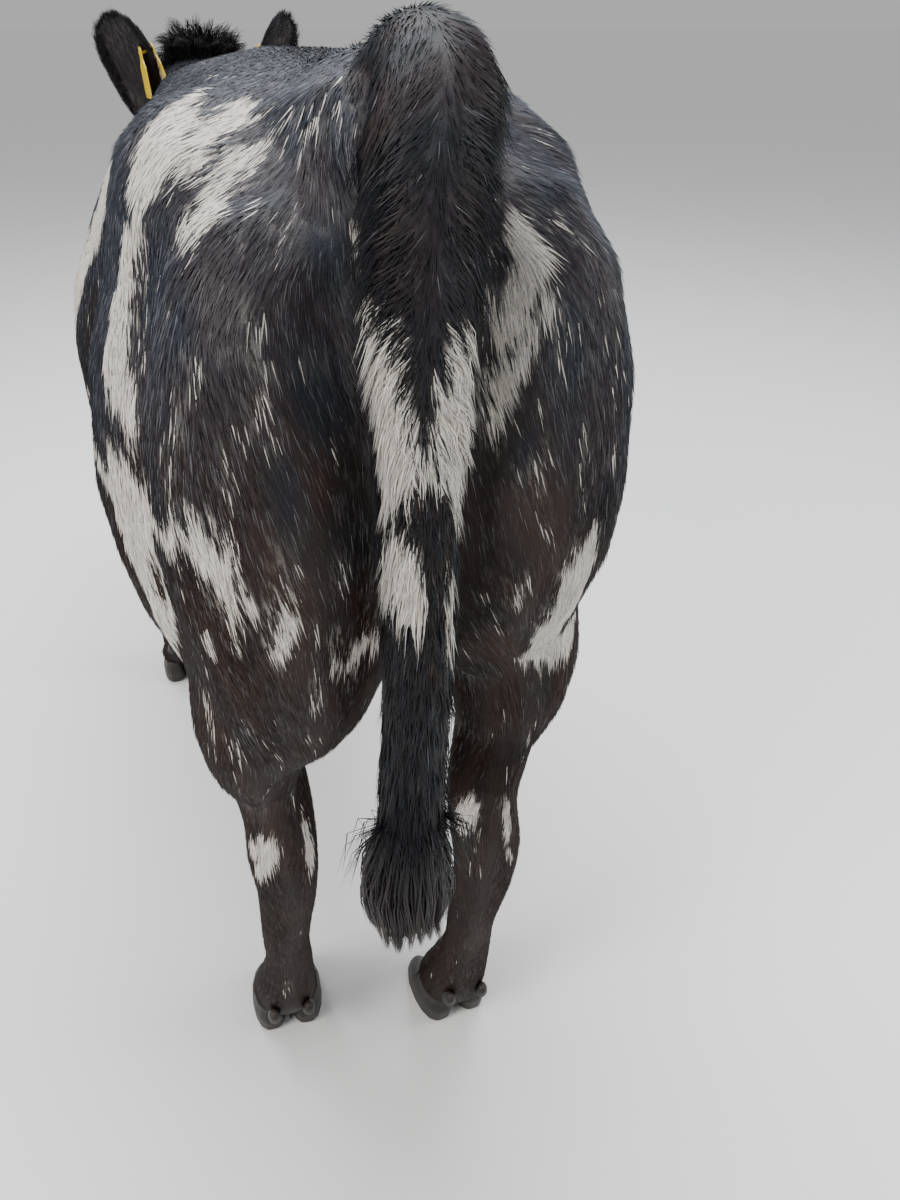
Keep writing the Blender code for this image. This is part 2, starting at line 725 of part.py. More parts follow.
def build_ear(side, sign, head):
    """A cupped sheet, rolled at its root and open towards the rounded tip."""
    rows, columns = 10, 8
    bm = bmesh.new()
    grid = []
    for i in range(rows + 1):
        row = [ear_point(sign, i / rows, 2 * j / columns - 1) for j in range(columns + 1)]
        grid.append([bm.verts.new(point) for point in row])
    for lower, upper in zip(grid, grid[1:]):
        for j in range(columns):
            bm.faces.new((lower[j], lower[j + 1], upper[j + 1], upper[j]))
    bmesh.ops.recalc_face_normals(bm, faces=bm.faces)
    ear = new_object("ear_" + side, bm)
    wall = ear.modifiers.new("Wall", "SOLIDIFY")
    wall.thickness = EAR_SHEET
    wall.offset = 0
    bake(ear)
    return seat_against(ear, head)


def tag_plate(name, centre, normal, down, stud):
    """A plate hanging from a round button; stud is its pin's length, or 0 for a hole instead."""
    side = normal.cross(down).normalized()
    half = TAG_WIDTH / 2
    corner = TAG_CORNER
    outline = []
    for k in range(11):
        angle = math.radians(-30 - 120 * k / 10)
        outline.append((TAG_BUTTON_RADIUS * math.cos(angle), TAG_BUTTON_RADIUS * math.sin(angle)))
    outline += [(-TAG_NECK_HALF_WIDTH, 0.010), (-half, TAG_SHOULDER)]
    for middle, start in ((corner - half, 180), (half - corner, 90)):
        for k in range(4):
            angle = math.radians(start - 30 * k)
            x = middle + corner * math.cos(angle)
            outline.append((x, TAG_LENGTH - corner + corner * math.sin(angle)))
    outline += [(half, TAG_SHOULDER), (TAG_NECK_HALF_WIDTH, 0.010)]
    bm = bmesh.new()
    rings = []
    for level in (-TAG_THICKNESS / 2, TAG_THICKNESS / 2):
        rings.append([bm.verts.new(centre + side * x + down * y + normal * level) for x, y in outline])
    count = len(outline)
    for k in range(count):
        j = (k + 1) % count
        bm.faces.new((rings[0][k], rings[0][j], rings[1][j], rings[1][k]))
    bm.faces.new(rings[0][::-1])
    bm.faces.new(rings[1])
    bmesh.ops.recalc_face_normals(bm, faces=bm.faces)
    plate = new_object(name, bm)
    if stud:
        pin = rod("pin", centre, centre + normal * stud, TAG_STUD_RADIUS)
        cut(plate, pin, "UNION")
    else:
        pin = rod("pin_hole", centre - normal * 0.01, centre + normal * 0.01, TAG_STUD_RADIUS + GAP * 3)
        cut(plate, pin, "DIFFERENCE")
    remove(pin)
    return plate


def rod(name, start, end, radius):
    """A round pin from one point to another."""
    bm = bmesh.new()
    axis = end - start
    turn = axis.to_track_quat("Z", "Y").to_matrix().to_4x4()
    place = Matrix.Translation((start + end) / 2) @ turn
    bmesh.ops.create_cone(
        bm, cap_ends=True, segments=12, radius1=radius, radius2=radius, depth=axis.length, matrix=place
    )
    return new_object(name, bm)


def build_tag(side, sign, ear):
    """A two-piece ear tag through the inner side of the ear, a plate hanging on each face."""
    _, opening, across = ear_axes(sign)
    spot = ear_point(sign, 0.62, -0.85 * sign)
    normal = opening * math.cos(TAG_TURN) + across * (sign * math.sin(TAG_TURN))
    down = Vector((0, 0, -1))
    down = (down - normal * down.dot(normal)).normalized()
    hole = rod("stud_hole", spot - normal * 0.012, spot + normal * 0.012, TAG_STUD_RADIUS + GAP * 2)
    cut(ear, hole, "DIFFERENCE")
    remove(hole)
    through = TAG_STAND_OFF + TAG_INSIDE_STAND_OFF + TAG_THICKNESS * 1.5
    tag_plate(f"tag_{side}_stud", spot - normal * TAG_STAND_OFF, normal, down, through)
    lean = Matrix.Rotation(-TAG_LEAN, 3, normal.cross(down))
    tag_plate(f"tag_{side}_flag", spot + normal * TAG_INSIDE_STAND_OFF, lean @ normal, lean @ down, 0)


def tail_path():
    """The hanging line of the tail: rows of centre and half sizes, from its root to the end of the dock."""
    x, top = HIP_SWAY, HIP_HEIGHT
    return [
        (x + 0.002, 0.115, top - 0.040, 0.034, 0.028),
        (x + 0.015, 0.045, top, 0.039, 0.030),
        (x + 0.010, -0.015, top - 0.015, 0.044, 0.032),
        (x - 0.010, -0.060, top - 0.064, 0.044, 0.031),
        (x - 0.023, -0.086, top - 0.130, 0.038, 0.030),
        (x - 0.029, -0.100, top - 0.230, 0.033, 0.028),
        (x - 0.032, -0.104, top - 0.340, 0.031, 0.026),
        (x - 0.036, -0.100, top - 0.450, 0.030, 0.025),
        (x - 0.040, -0.092, top - 0.550, 0.029, 0.024),
        (x - 0.041, -0.088, top - 0.600, 0.028, 0.024),
    ]


def build_tail(body):
    """The tail in two lengths, the dock and the long-haired switch."""
    dock = limb("tail_dock", tail_path(), 23, 14)
    end = Vector(tail_path()[-1][:3])
    rows = [
        (end.x + 0.001, end.y - 0.001, end.z + 0.006, 0.027, 0.023),
        (end.x - 0.002, end.y + 0.003, end.z - 0.045, 0.030, 0.025),
        (end.x - 0.003, end.y + 0.004, end.z - 0.090, 0.028, 0.024),
        (end.x - 0.003, end.y + 0.004, end.z - 0.125, 0.016, 0.014),
    ]
    switch = limb("tail_switch", rows, 9, 12)
    fuse_locks(switch, switch_locks(end - Vector((0.003, -0.004, SWITCH_LENGTH))))
    seat_against(switch, dock)
    seat_against(dock, body)


def switch_locks(tip):
    """Locks in tiers round the switch, rooted in its core and falling to ragged tips."""
    draw = random.Random(41)
    locks = []
    for tier, (count, height, length, spread) in enumerate(SWITCH_TIERS):
        for k in range(count):
            angle = 2 * math.pi * (k + 0.5 * (tier % 2) + draw.uniform(-0.15, 0.15)) / count
            out = Vector((math.cos(angle), 0.84 * math.sin(angle), 0))
            around = Vector((-math.sin(angle), math.cos(angle), 0))
            fall = length * draw.uniform(0.86, 1.12)
            twist = draw.uniform(-0.010, 0.010)
            path = []
            for i in range(LOCK_STEPS + 1):
                t = i / LOCK_STEPS
                reach = 0.016 + (spread + 0.010) * math.sin(math.pi * (0.08 + 0.78 * t)) - 0.012 * t * t
                path.append(tip + out * reach + around * (twist * t * t) + Vector((0, 0, height - fall * t)))
            name = f"switch_lock_{tier}_{k}"
            locks.append(lock(name, path, around, SWITCH_LOCK_WIDTH, SWITCH_LOCK_THICKNESS))
    return locks


def poll_locks():
    """Locks in tiers round the crown, falling over the forehead and to the sides."""
    draw = random.Random(12)
    locks = []
    sideways = Vector((1, 0, 0))
    forward = (head_place(0, 0, 1) - POLL).normalized()
    up = (head_place(0, 1, 0) - POLL).normalized()
    for tier, (count, away, length, height, rise, droop) in enumerate(TUFT_TIERS):
        for k in range(count):
            spread = (k + 0.5) / count - 0.5 + draw.uniform(-0.02, 0.02)
            angle = spread * math.radians(300)
            way = forward * math.cos(angle) + sideways * math.sin(angle)
            around = way.cross(up)
            run = length * draw.uniform(0.84, 1.14) * (0.80 + 0.20 * math.cos(angle))
            sink = droop * (0.35 + 0.65 * abs(math.sin(angle)) ** 2)
            bend = draw.uniform(-0.012, 0.012)
            path = []
            for i in range(LOCK_STEPS + 1):
                t = i / LOCK_STEPS
                level = height + rise * math.sin(math.pi * (0.05 + 0.75 * t)) - sink * t * t
                aside = way * (away + run * t) + around * (bend * t * t)
                path.append(head_place(0, 0, 0.004) + aside + up * level)
            locks.append(lock(f"poll_lock_{tier}_{k}", path, around, TUFT_LOCK_WIDTH, TUFT_LOCK_THICKNESS))
    return locks


def build_udder(neighbours):
    """A heifer's small bag between the thighs, with four short teats."""
    pieces = [ellipsoid("bag", (0.010, 0.335, 0.628), (0.078, 0.115, 0.055))]
    for i, (x, y) in enumerate(((-0.028, 0.295), (0.046, 0.295), (-0.030, 0.375), (0.048, 0.375))):
        pieces.append(ellipsoid(f"teat_{i}", (x, y, 0.572), (0.0105, 0.0105, 0.026), (0, 0, 0), 16))
    udder = thin_out(melt("udder", pieces, 0.0045, 3), UDDER_TRIANGLES)
    for neighbour in neighbours:
        seat_against(udder, neighbour)


def build_eye(side, sign, head):
    """A round eyeball in a socket cut for it."""
    eye = ellipsoid("eye_" + side, eye_centre(sign), (EYE_RADIUS,) * 3, (0, 0, 0), 16)
    socket = grown(eye, GAP * 1.6)
    cut(head, socket, "DIFFERENCE")
    remove(socket)
    return eye


def carve_mouth(head):
    """A groove along the lips and two slanted nostrils."""
    bm = bmesh.new()
    bm.from_mesh(head.data)
    tree = BVHTree.FromBMesh(bm)
    bm.free()
    mouth = head_place(0, -0.140, 0.345)
    forward = head_place(0, 0, 1) - POLL
    line = []
    for k in range(49):
        angle = math.radians(-22 + 224 * k / 48)
        way = Vector((math.cos(angle), 0, 0)) + forward * math.sin(angle)
        line.append(tree.ray_cast(mouth + way * 0.3, -way)[0])
    curve = bpy.data.curves.new("lip_line", "CURVE")
    curve.dimensions = "3D"
    curve.bevel_depth = LIP_GROOVE_RADIUS
    curve.bevel_resolution = 2
    curve.use_fill_caps = True
    spline = curve.splines.new("POLY")
    spline.points.add(len(line) - 1)
    for point, place in zip(spline.points, line):
        point.co = (*place, 1)
    groove = bpy.data.objects.new("lip_line", curve)
    part_collection.objects.link(groove)
    bpy.context.view_layer.update()
    graph = bpy.context.evaluated_depsgraph_get()
    mesh = bpy.data.meshes.new_from_object(groove.evaluated_get(graph))
    welded = bmesh.new()
    welded.from_mesh(mesh)
    bmesh.ops.remove_doubles(welded, verts=welded.verts, dist=0.00005)
    cutter = new_object("lip_cutter", welded)
    bpy.data.objects.remove(groove)
    cut(head, cutter, "DIFFERENCE")
    remove(cutter)
    tilt = math.degrees(FACE_SLOPE) + 90
    for sign in (1, -1):
        spot = tree.find_nearest(head_place(sign * 0.045, -0.063, 0.456))[0]
        nostril = ellipsoid("nostril", spot, (0.0095, 0.0180, 0.0220), (tilt, sign * 24, sign * -28), 18)
        cut(head, nostril, "DIFFERENCE")
        remove(nostril)


MATERIALS = {
    "leg": ((0.016, 0.014, 0.015), 0.62),
    "claw": ((0.030, 0.026, 0.024), 0.42),
    "dewclaw": ((0.030, 0.026, 0.024), 0.45),
    "eye": ((0.010, 0.007, 0.006), 0.08),
    "ear": ((0.014, 0.013, 0.016), 0.65),
    "tag": ((0.800, 0.560, 0.050), 0.38),
    "udder": ((0.560, 0.330, 0.290), 0.50),
    "tail": ((0.018, 0.017, 0.020), 0.55),
    "head": ((0.016, 0.016, 0.020), 0.60),
    "neck": ((0.020, 0.020, 0.025), 0.60),
    "torso": ((0.050, 0.052, 0.062), 0.58),
}


def paint_all():
    """Gives every piece a material of its own."""
    for obj in part_collection.objects:
        colour, roughness = MATERIALS[obj.name.split("_")[0]]
        material = bpy.data.materials.new("skin_" + obj.name)
        material.use_nodes = True
        shader = material.node_tree.nodes["Principled BSDF"]
        shader.inputs["Base Color"].default_value = (*colour, 1)
        shader.inputs["Roughness"].default_value = roughness
        shader.inputs["Metallic"].default_value = 0
        obj.data.materials.clear()
        obj.data.materials.append(material)


def centre_all():
    """Moves every piece so that the floor point under the middle of the whole is the origin."""
    low = Vector((1e9,) * 3)
    high = Vector((-1e9,) * 3)
    for obj in part_collection.objects:
        for v in obj.data.vertices:
            low = Vector(map(min, low, v.co))
            high = Vector(map(max, high, v.co))
    shift = Matrix.Translation((-(low.x + high.x) / 2, -(low.y + high.y) / 2, -low.z))
    for obj in part_collection.objects:
        obj.data.transform(shift)


def part_head(body):
    """Models the head on the neck's own end and parts it from the body behind the jaw."""
    head = melt("bare_head", [neck()] + skull(), HEAD_VOXEL, 14)
    head = melt("head", [head] + eyelids(), HEAD_VOXEL, 2)
    nape = POLL + Vector((0, -0.060, 0.06))
    throat = Vector((0, POLL.y - 0.085, 0.940))
    down = (throat - nape).normalized()
    ahead = Vector((1, 0, 0)).cross(down)
    ahead *= math.copysign(1, ahead.y)
    corners = []
    for x in (-0.3, 0.3):
        for along in (-0.25, 0.60):
            for out in (0.0, 0.8):
                corners.append(nape + Vector((x, 0, 0)) + down * along + ahead * out)
    block = region("head_block", corners)
    wider = region("head_wider", corners, GAP * 2)
    cut(head, block, "INTERSECT")
    cut(body, wider, "DIFFERENCE")
    remove(block, wider)
    largest_piece(head)
    carve_mouth(head)
    eyes = [eye_centre(1), eye_centre(-1)]
    mouth = head_place(0, -0.09, 0.42)
    thin_out(head, HEAD_TRIANGLES, lambda p: 0.8 * max(
        eased((0.045 - min((p - eye).length for eye in eyes)) / 0.015),
        0.5 * eased((0.12 - (p - mouth).length) / 0.03),
    ))
    for side, sign in (("right", 1), ("left", -1)):
        build_eye(side, sign, head)
    return largest_piece(head)


def part_leg(body, leg, place):
    """Parts one leg from the body by a slanted block and gives it claws and dewclaws."""
    end, side = leg.split("_")
    sign = -1 if side == "left" else 1
    hind = end == "hind"
    low, high = ((GAP, -0.4, 0.0), (0.5, 0.43, 0.79)) if hind else ((0.085, 0.985, 0.0), (0.5, 1.370, 0.72))
    if sign < 0:
        low, high = (-high[0], low[1], low[2]), (-low[0], high[1], high[2])

    def slant(p):
        if hind:
            inward = sign * 0.30 * p.y if p.y > 0 and p.z > 0.4 else 0
            return Vector((inward, 0, 0.18 * (p.y - 0.10)))
        return Vector((0, -0.08 * (p.z - 0.6), -0.10 * (p.y - 1.15)))

    corners = block_corners(low, high, slant)
    for corner in corners:
        if corner.z < 0.4:
            corner.z = CLAW_HEIGHT
    piece = parted(body, "leg_" + leg, corners)
    build_claws(leg, place["foot"], sign * 4)
    heel_y = place["joint"][1] + (0.021 if hind else -0.032)
    build_dewclaws(leg, place["foot"], heel_y, piece)
    return piece


def main():
    global part_collection, cutter_collection
    clear_scene()
    part_collection = bpy.data.collections.new("belgian_blue_heifer")
    cutter_collection = bpy.data.collections.new("cutters")
    for collection in (part_collection, cutter_collection):
        bpy.context.scene.collection.children.link(collection)

    flesh = [barrel(), neck()] + hindquarter_muscles() + forequarter_muscles()
    for leg, place in FEET.items():
        end, side = leg.split("_")
        build = hind_leg if end == "hind" else fore_leg
        flesh += build(side, place["foot"], place["joint"])
    body = melt("torso", flesh, BODY_VOXEL, 6)
    stroke(body, 60, lambda p: eased((p.z - 0.56) / 0.16) * (1 - 0.85 * eased((p.y - 1.27) / 0.10)))
    sway(body)
    thin_out(body, BODY_TRIANGLES, lambda p: 0.18 * eased((0.62 - p.z) / 0.08))

    head = part_head(body)
    largest_piece(body)
    neck_corners = block_corners(
        (-0.4, WITHERS_AT + 0.215, 0.3), (0.4, 2.2, 1.6), lambda p: Vector((0, -0.42 * (p.z - 0.95), 0))
    )
    parted(body, "neck", neck_corners)
    legs = [part_leg(body, leg, place) for leg, place in FEET.items()]
    largest_piece(body)

    build_tail(body)
    for side, sign in (("right", 1), ("left", -1)):
        ear = build_ear(side, sign, head)
        build_tag(side, sign, ear)
    fuse_locks(head, poll_locks())
    build_udder([body] + legs[:2])
    centre_all()
    paint_all()


main()
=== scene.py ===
"""The looks of a standing Belgian Blue heifer: one skin, its short coat, its long hair and its fittings."""

import math

import bmesh
import bpy
import numpy as np
from mathutils import Matrix, Vector
from mathutils.bvhtree import BVHTree


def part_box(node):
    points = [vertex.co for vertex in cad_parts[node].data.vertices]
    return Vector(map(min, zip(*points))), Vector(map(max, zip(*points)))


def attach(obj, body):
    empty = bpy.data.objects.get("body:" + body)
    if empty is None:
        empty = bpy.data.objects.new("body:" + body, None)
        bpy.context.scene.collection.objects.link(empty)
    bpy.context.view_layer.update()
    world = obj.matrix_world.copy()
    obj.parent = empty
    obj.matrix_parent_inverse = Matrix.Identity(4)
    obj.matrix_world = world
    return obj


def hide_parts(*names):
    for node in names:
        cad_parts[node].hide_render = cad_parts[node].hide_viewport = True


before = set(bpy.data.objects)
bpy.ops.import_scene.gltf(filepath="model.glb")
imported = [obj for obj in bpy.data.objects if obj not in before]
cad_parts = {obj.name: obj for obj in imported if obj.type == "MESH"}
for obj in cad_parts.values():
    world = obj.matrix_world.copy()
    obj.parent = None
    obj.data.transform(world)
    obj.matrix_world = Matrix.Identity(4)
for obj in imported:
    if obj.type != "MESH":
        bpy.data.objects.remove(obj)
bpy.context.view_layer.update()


# Places on the animal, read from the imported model

def middle(node):
    """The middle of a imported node's box."""
    low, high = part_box(node)
    return (low + high) / 2


FACE_SLOPE = math.radians(50)
FACE_STRETCH = 0.955
EYE = {"left": middle("eye_left"), "right": middle("eye_right")}
EYE_RADIUS = (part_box("eye_left")[1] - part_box("eye_left")[0]).z / 2
BETWEEN_EYES = (EYE["left"] + EYE["right"]) / 2
# Body places are counted from the tail head, as on the solids: x right, y forward, z up.
TAIL_HEAD = BETWEEN_EYES - Vector((0.003, 1.6111, 1.0467))
TAIL_HEAD.z = 0.0
POLL = Vector((0.003, 1.565, 1.195))
FACE_DOWN = Vector((0, math.cos(FACE_SLOPE), -math.sin(FACE_SLOPE)))
FACE_UP = Vector((0, math.sin(FACE_SLOPE), math.cos(FACE_SLOPE)))

# The photograph's camera, from the tail head
PHOTO_WIDTH, PHOTO_HEIGHT = 900, 1200
FOCAL_PIXELS = 938
CAMERA_PLACE = TAIL_HEAD + Vector((-0.176, -0.700, 1.250))
CAMERA_HEADING = math.radians(17.5)
CAMERA_PITCH = math.radians(-31.5)

FLESH = [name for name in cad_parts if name.split("_")[0] in ("torso", "neck", "head", "leg", "udder")]
FLESH += ["tail_dock"]
SKIN_SWELL = 0.0007
SKIN_VOXEL = 0.0046
SKIN_TRIANGLES = 112000
EAR_VOXEL = 0.0025
CLAW_VOXEL = 0.0024
DEWCLAW_VOXEL = 0.0014
UNWRAP_TRIANGLES = 9000
EAR_UNWRAP_TRIANGLES = 700
COAT_DEPTH = 0.0042
FACE_COAT_DEPTH = 0.0022
COAT_TUFTS = 280000
COAT_PIECES = 6
TAIL_HAIRS = 8600
TAIL_PIECES = 2
SWITCH_HAIRS = 2900
POLL_HAIRS = 3100
WHISKERS = 260
EAR_TUFTS = 8200
EAR_FRINGE = 1300

# The line of the tail, from its root to the end of the dock, and its half width with the hair
TAIL_LINE = [
    (0.035, 0.045, 1.235, 0.052),
    (0.030, -0.015, 1.220, 0.056),
    (0.010, -0.060, 1.171, 0.056),
    (-0.003, -0.086, 1.105, 0.050),
    (-0.009, -0.100, 1.005, 0.044),
    (-0.012, -0.104, 0.895, 0.042),
    (-0.016, -0.100, 0.785, 0.041),
    (-0.020, -0.092, 0.685, 0.040),
    (-0.021, -0.088, 0.600, 0.040),
]
DOCK_END = Vector((-0.021, -0.088, 0.640))

# The ears, as the solids have them
EAR_LENGTH = 0.182
EAR_TURN = {"left": math.radians(36), "right": math.radians(48)}
SIGN = {"left": -1, "right": 1}

rng = np.random.default_rng(2024)


def place_from_tail(points):
    """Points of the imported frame, counted from the tail head."""
    return points - np.array(TAIL_HEAD)


def face_place(across, above, along):
    """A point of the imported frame, from its place on the face."""
    local = POLL + Vector((across, 0, 0)) + FACE_UP * above + FACE_DOWN * (along * FACE_STRETCH)
    return TAIL_HEAD + local


def face_numbers(points):
    """Across, above and along the face, of points counted from the tail head."""
    rel = points - np.array(POLL)
    return rel[:, 0], rel @ np.array(FACE_UP), rel @ np.array(FACE_DOWN) / FACE_STRETCH


# Small numeric helpers

def smooth(value, low, high):
    """0 below low, 1 above high, and a soft step between."""
    t = np.clip((value - low) / (high - low), 0, 1)
    return t * t * (3 - 2 * t)


def on_face(points):
    """1 on the face and its cheeks, and 0 behind the poll."""
    return smooth(points[:, 1], 1.50, 1.58) * smooth(face_numbers(points)[2], 0.02, 0.10)


def normalised(vectors):
    """Each row at length 1."""
    return vectors / np.maximum(np.linalg.norm(vectors, axis=1, keepdims=True), 1e-9)


def toward(colour, other, share):
    """Rows of colour drawn towards another, each by its own share."""
    return colour + (other - colour) * share[:, None]


def vary(count, least, spread):
    """Random numbers, from the least one over the spread."""
    return least + spread * rng.random(count)


def shades(colour, count, least, spread):
    """One colour in many random tones."""
    return colour[None] * vary(count, least, spread)[:, None]


def stray(count, size):
    """Random steps to every side, for hairs that don't all lie alike."""
    return (rng.random((count, 3)) - 0.5) * size


LATTICE = np.random.default_rng(7).random(4096)


def cloud(points, size, seed=0, stretch=(1, 1, 1)):
    """Soft noise from 0 to 1, with features of the given size in metres."""
    p = points / (np.array(stretch) * size) + seed * 17.31
    cell = np.floor(p).astype(np.int64)
    part = p - cell
    part = part * part * (3 - 2 * part)
    total = np.zeros(len(points))
    for dx in (0, 1):
        for dy in (0, 1):
            for dz in (0, 1):
                c = cell + np.array((dx, dy, dz))
                key = (c[:, 0] * 73856093) ^ (c[:, 1] * 19349663) ^ (c[:, 2] * 83492791) ^ (seed * 2654435)
                share = (part[:, 0] if dx else 1 - part[:, 0])
                share = share * (part[:, 1] if dy else 1 - part[:, 1])
                share = share * (part[:, 2] if dz else 1 - part[:, 2])
                total += share * LATTICE[key & 4095]
    return total


# Mesh helpers

def link(name, mesh):
    obj = bpy.data.objects.new(name, mesh)
    bpy.context.scene.collection.objects.link(obj)
    return obj


def apply_modifiers(obj):
    """Applies every modifier of an object, in order."""
    bpy.ops.object.select_all(action="DESELECT")
    obj.select_set(True)
    bpy.context.view_layer.objects.active = obj
    for modifier in list(obj.modifiers):
        bpy.ops.object.modifier_apply(modifier=modifier.name)
    obj.select_set(False)
    return obj


def fuse(obj, size):
    """Joins what overlaps into one skin of small cells."""
    remesh = obj.modifiers.new("Fuse", "REMESH")
    remesh.mode = "VOXEL"
    remesh.voxel_size = size


def soften(obj, rounds, group=""):
    relax = obj.modifiers.new("Soft", "SMOOTH")
    relax.factor = 0.5
    relax.iterations = rounds
    relax.vertex_group = group


def weigh(obj, name, weights):
    """A vertex group with weights rounded to tenths."""
    group = obj.vertex_groups.new(name=name)
    for level in range(1, 11):
        chosen = np.nonzero(np.round(weights * 10).astype(int) == level)[0]
        if len(chosen):
            group.add(chosen.tolist(), level / 10, "REPLACE")


def merged_copy(name, nodes, swell=0.0):
    """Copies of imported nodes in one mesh, their loose triangles joined up."""
    bm = bmesh.new()
    for node in nodes:
        bm.from_mesh(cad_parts[node].data)
    bmesh.ops.remove_doubles(bm, verts=bm.verts, dist=0.00002)
    bm.normal_update()
    for v in bm.verts:
        v.co += v.normal * swell
    mesh = bpy.data.meshes.new(name)
    bm.to_mesh(mesh)
    bm.free()
    return link(name, mesh)


def coordinates(mesh):
    co = np.empty(len(mesh.vertices) * 3)
    mesh.vertices.foreach_get("co", co)
    return co.reshape(-1, 3)


def point_normals(mesh):
    values = np.empty(len(mesh.vertices) * 3)
    mesh.vertex_normals.foreach_get("vector", values)
    return values.reshape(-1, 3)


def set_coordinates(mesh, co):
    mesh.vertices.foreach_set("co", co.ravel())
    mesh.update()


def mesh_from_arrays(name, verts, faces):
    """A mesh of triangles."""
    mesh = bpy.data.meshes.new(name)
    mesh.vertices.add(len(verts))
    mesh.vertices.foreach_set("co", verts.ravel())
    mesh.loops.add(faces.size)
    mesh.loops.foreach_set("vertex_index", faces.ravel().astype(np.int32))
    mesh.polygons.add(len(faces))
    mesh.polygons.foreach_set("loop_start", (np.arange(len(faces)) * 3).astype(np.int32))
    mesh.update(calc_edges=True)
    return mesh


def set_colours(mesh, name, colours):
    layer = mesh.color_attributes.new(name, "FLOAT_COLOR", "POINT")
    values = np.ones((len(colours), 4), np.float32)
    values[:, :3] = colours
    layer.data.foreach_set("color", values.ravel())


def set_values(mesh, name, values):
    layer = mesh.attributes.new(name, "FLOAT", "POINT")
    layer.data.foreach_set("value", values.astype(np.float32))


# Shader helpers

class Socket:
    """A node output that can be added, multiplied and so on as a number can."""

    def __init__(self, make, out):
        self.make, self.out = make, out

    def math(self, operation, *others):
        return self.make("ShaderNodeMath", {"operation": operation}, *others)

    def __add__(self, other):
        return self.math("ADD", self, other)

    def __sub__(self, other):
        return self.math("SUBTRACT", self, other)

    def __rsub__(self, other):
        return self.math("SUBTRACT", other, self)

    def __mul__(self, other):
        return self.math("MULTIPLY", self, other)

    __radd__ = __add__
    __rmul__ = __mul__

    def clip(self, low, high):
        soft = {"interpolation_type": "SMOOTHSTEP"}
        return self.make("ShaderNodeMapRange", soft, self, low, high, 0.0, 1.0)


class Finish:
    """One material and the nodes that feed its Principled shader."""

    def __init__(self, name, roughness, colour=(0.5, 0.5, 0.5), **fixed):
        self.material = bpy.data.materials.new(name)
        self.material.use_nodes = True
        self.tree = self.material.node_tree
        self.shader = self.tree.nodes["Principled BSDF"]
        self.shader.inputs["Roughness"].default_value = roughness
        self.shader.inputs["Base Color"].default_value = (*colour, 1)
        for key, value in fixed.items():
            self.shader.inputs[key.replace("_", " ")].default_value = value

    def node(self, kind, settings, *values, out=0):
        made = self.tree.nodes.new(kind)
        for key, value in settings.items():
            setattr(made, key, value)
        for i, value in enumerate(values):
            if isinstance(value, Socket):
                self.tree.links.new(value.out, made.inputs[i])
            elif value is not None:
                made.inputs[i].default_value = value
        return Socket(self.node, made.outputs[out])

    def mixed(self, share, first, second, blend="MIX"):
        """A colour between two, by a share from 0 to 1."""
        made = self.tree.nodes.new("ShaderNodeMix")
        made.data_type = "RGBA"
        made.blend_type = blend
        for socket, value in ((made.inputs[0], share), (made.inputs[6], first), (made.inputs[7], second)):
            if isinstance(value, Socket):
                self.tree.links.new(value.out, socket)
            elif isinstance(value, (int, float)):
                socket.default_value = value
            else:
                socket.default_value = (*value, 1)
        return Socket(self.node, made.outputs[2])

    def attribute(self, name, number=False):
        return self.node("ShaderNodeAttribute", {"attribute_name": name}, out=2 if number else 0)

    def here(self, scale=(1, 1, 1), turn=(0, 0, 0)):
        """Object coordinates, scaled and turned."""
        place = self.node("ShaderNodeTexCoord", {}, out=3)
        return self.node("ShaderNodeMapping", {}, place, None, turn, scale)

    def noise(self, where, scale, detail=2.0, rough=0.5):
        return self.node("ShaderNodeTexNoise", {}, where, None, scale, detail, rough)

    def feed(self, socket, value):
        self.tree.links.new(value.out, self.shader.inputs[socket])

    def bump(self, height, strength, distance):
        made = self.tree.nodes.new("ShaderNodeBump")
        made.inputs["Strength"].default_value = strength
        made.inputs["Distance"].default_value = distance
        self.tree.links.new(height.out, made.inputs["Height"])
        self.tree.links.new(made.outputs["Normal"], self.shader.inputs["Normal"])


def dress(obj, finish, slot, *nodes):
    """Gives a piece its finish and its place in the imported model."""
    obj.data.materials.clear()
    obj.data.materials.append(finish.material)
    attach(obj, "root")
    if nodes:
        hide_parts(*nodes)
    return obj


# Camera, light and floor

AHEAD = Vector((math.sin(CAMERA_HEADING) * math.cos(CAMERA_PITCH),
                math.cos(CAMERA_HEADING) * math.cos(CAMERA_PITCH), math.sin(CAMERA_PITCH)))
RIGHT = Vector((math.cos(CAMERA_HEADING), -math.sin(CAMERA_HEADING), 0))
OVER = RIGHT.cross(AHEAD)


def photo_ray(x, y):
    """The way a pixel of the photograph looks."""
    ray = AHEAD * FOCAL_PIXELS + RIGHT * (x - PHOTO_WIDTH / 2) + OVER * (PHOTO_HEIGHT / 2 - y)
    return ray.normalized()


def photo_pixels(points):
    """Where points counted from the tail head fall in the photograph, and how far off they are."""
    rel = points - np.array(CAMERA_PLACE - TAIL_HEAD)
    far = np.maximum(rel @ np.array(AHEAD), 0.05)
    x = PHOTO_WIDTH / 2 + FOCAL_PIXELS * (rel @ np.array(RIGHT)) / far
    y = PHOTO_HEIGHT / 2 - FOCAL_PIXELS * (rel @ np.array(OVER)) / far
    return np.stack([x, y], 1), far


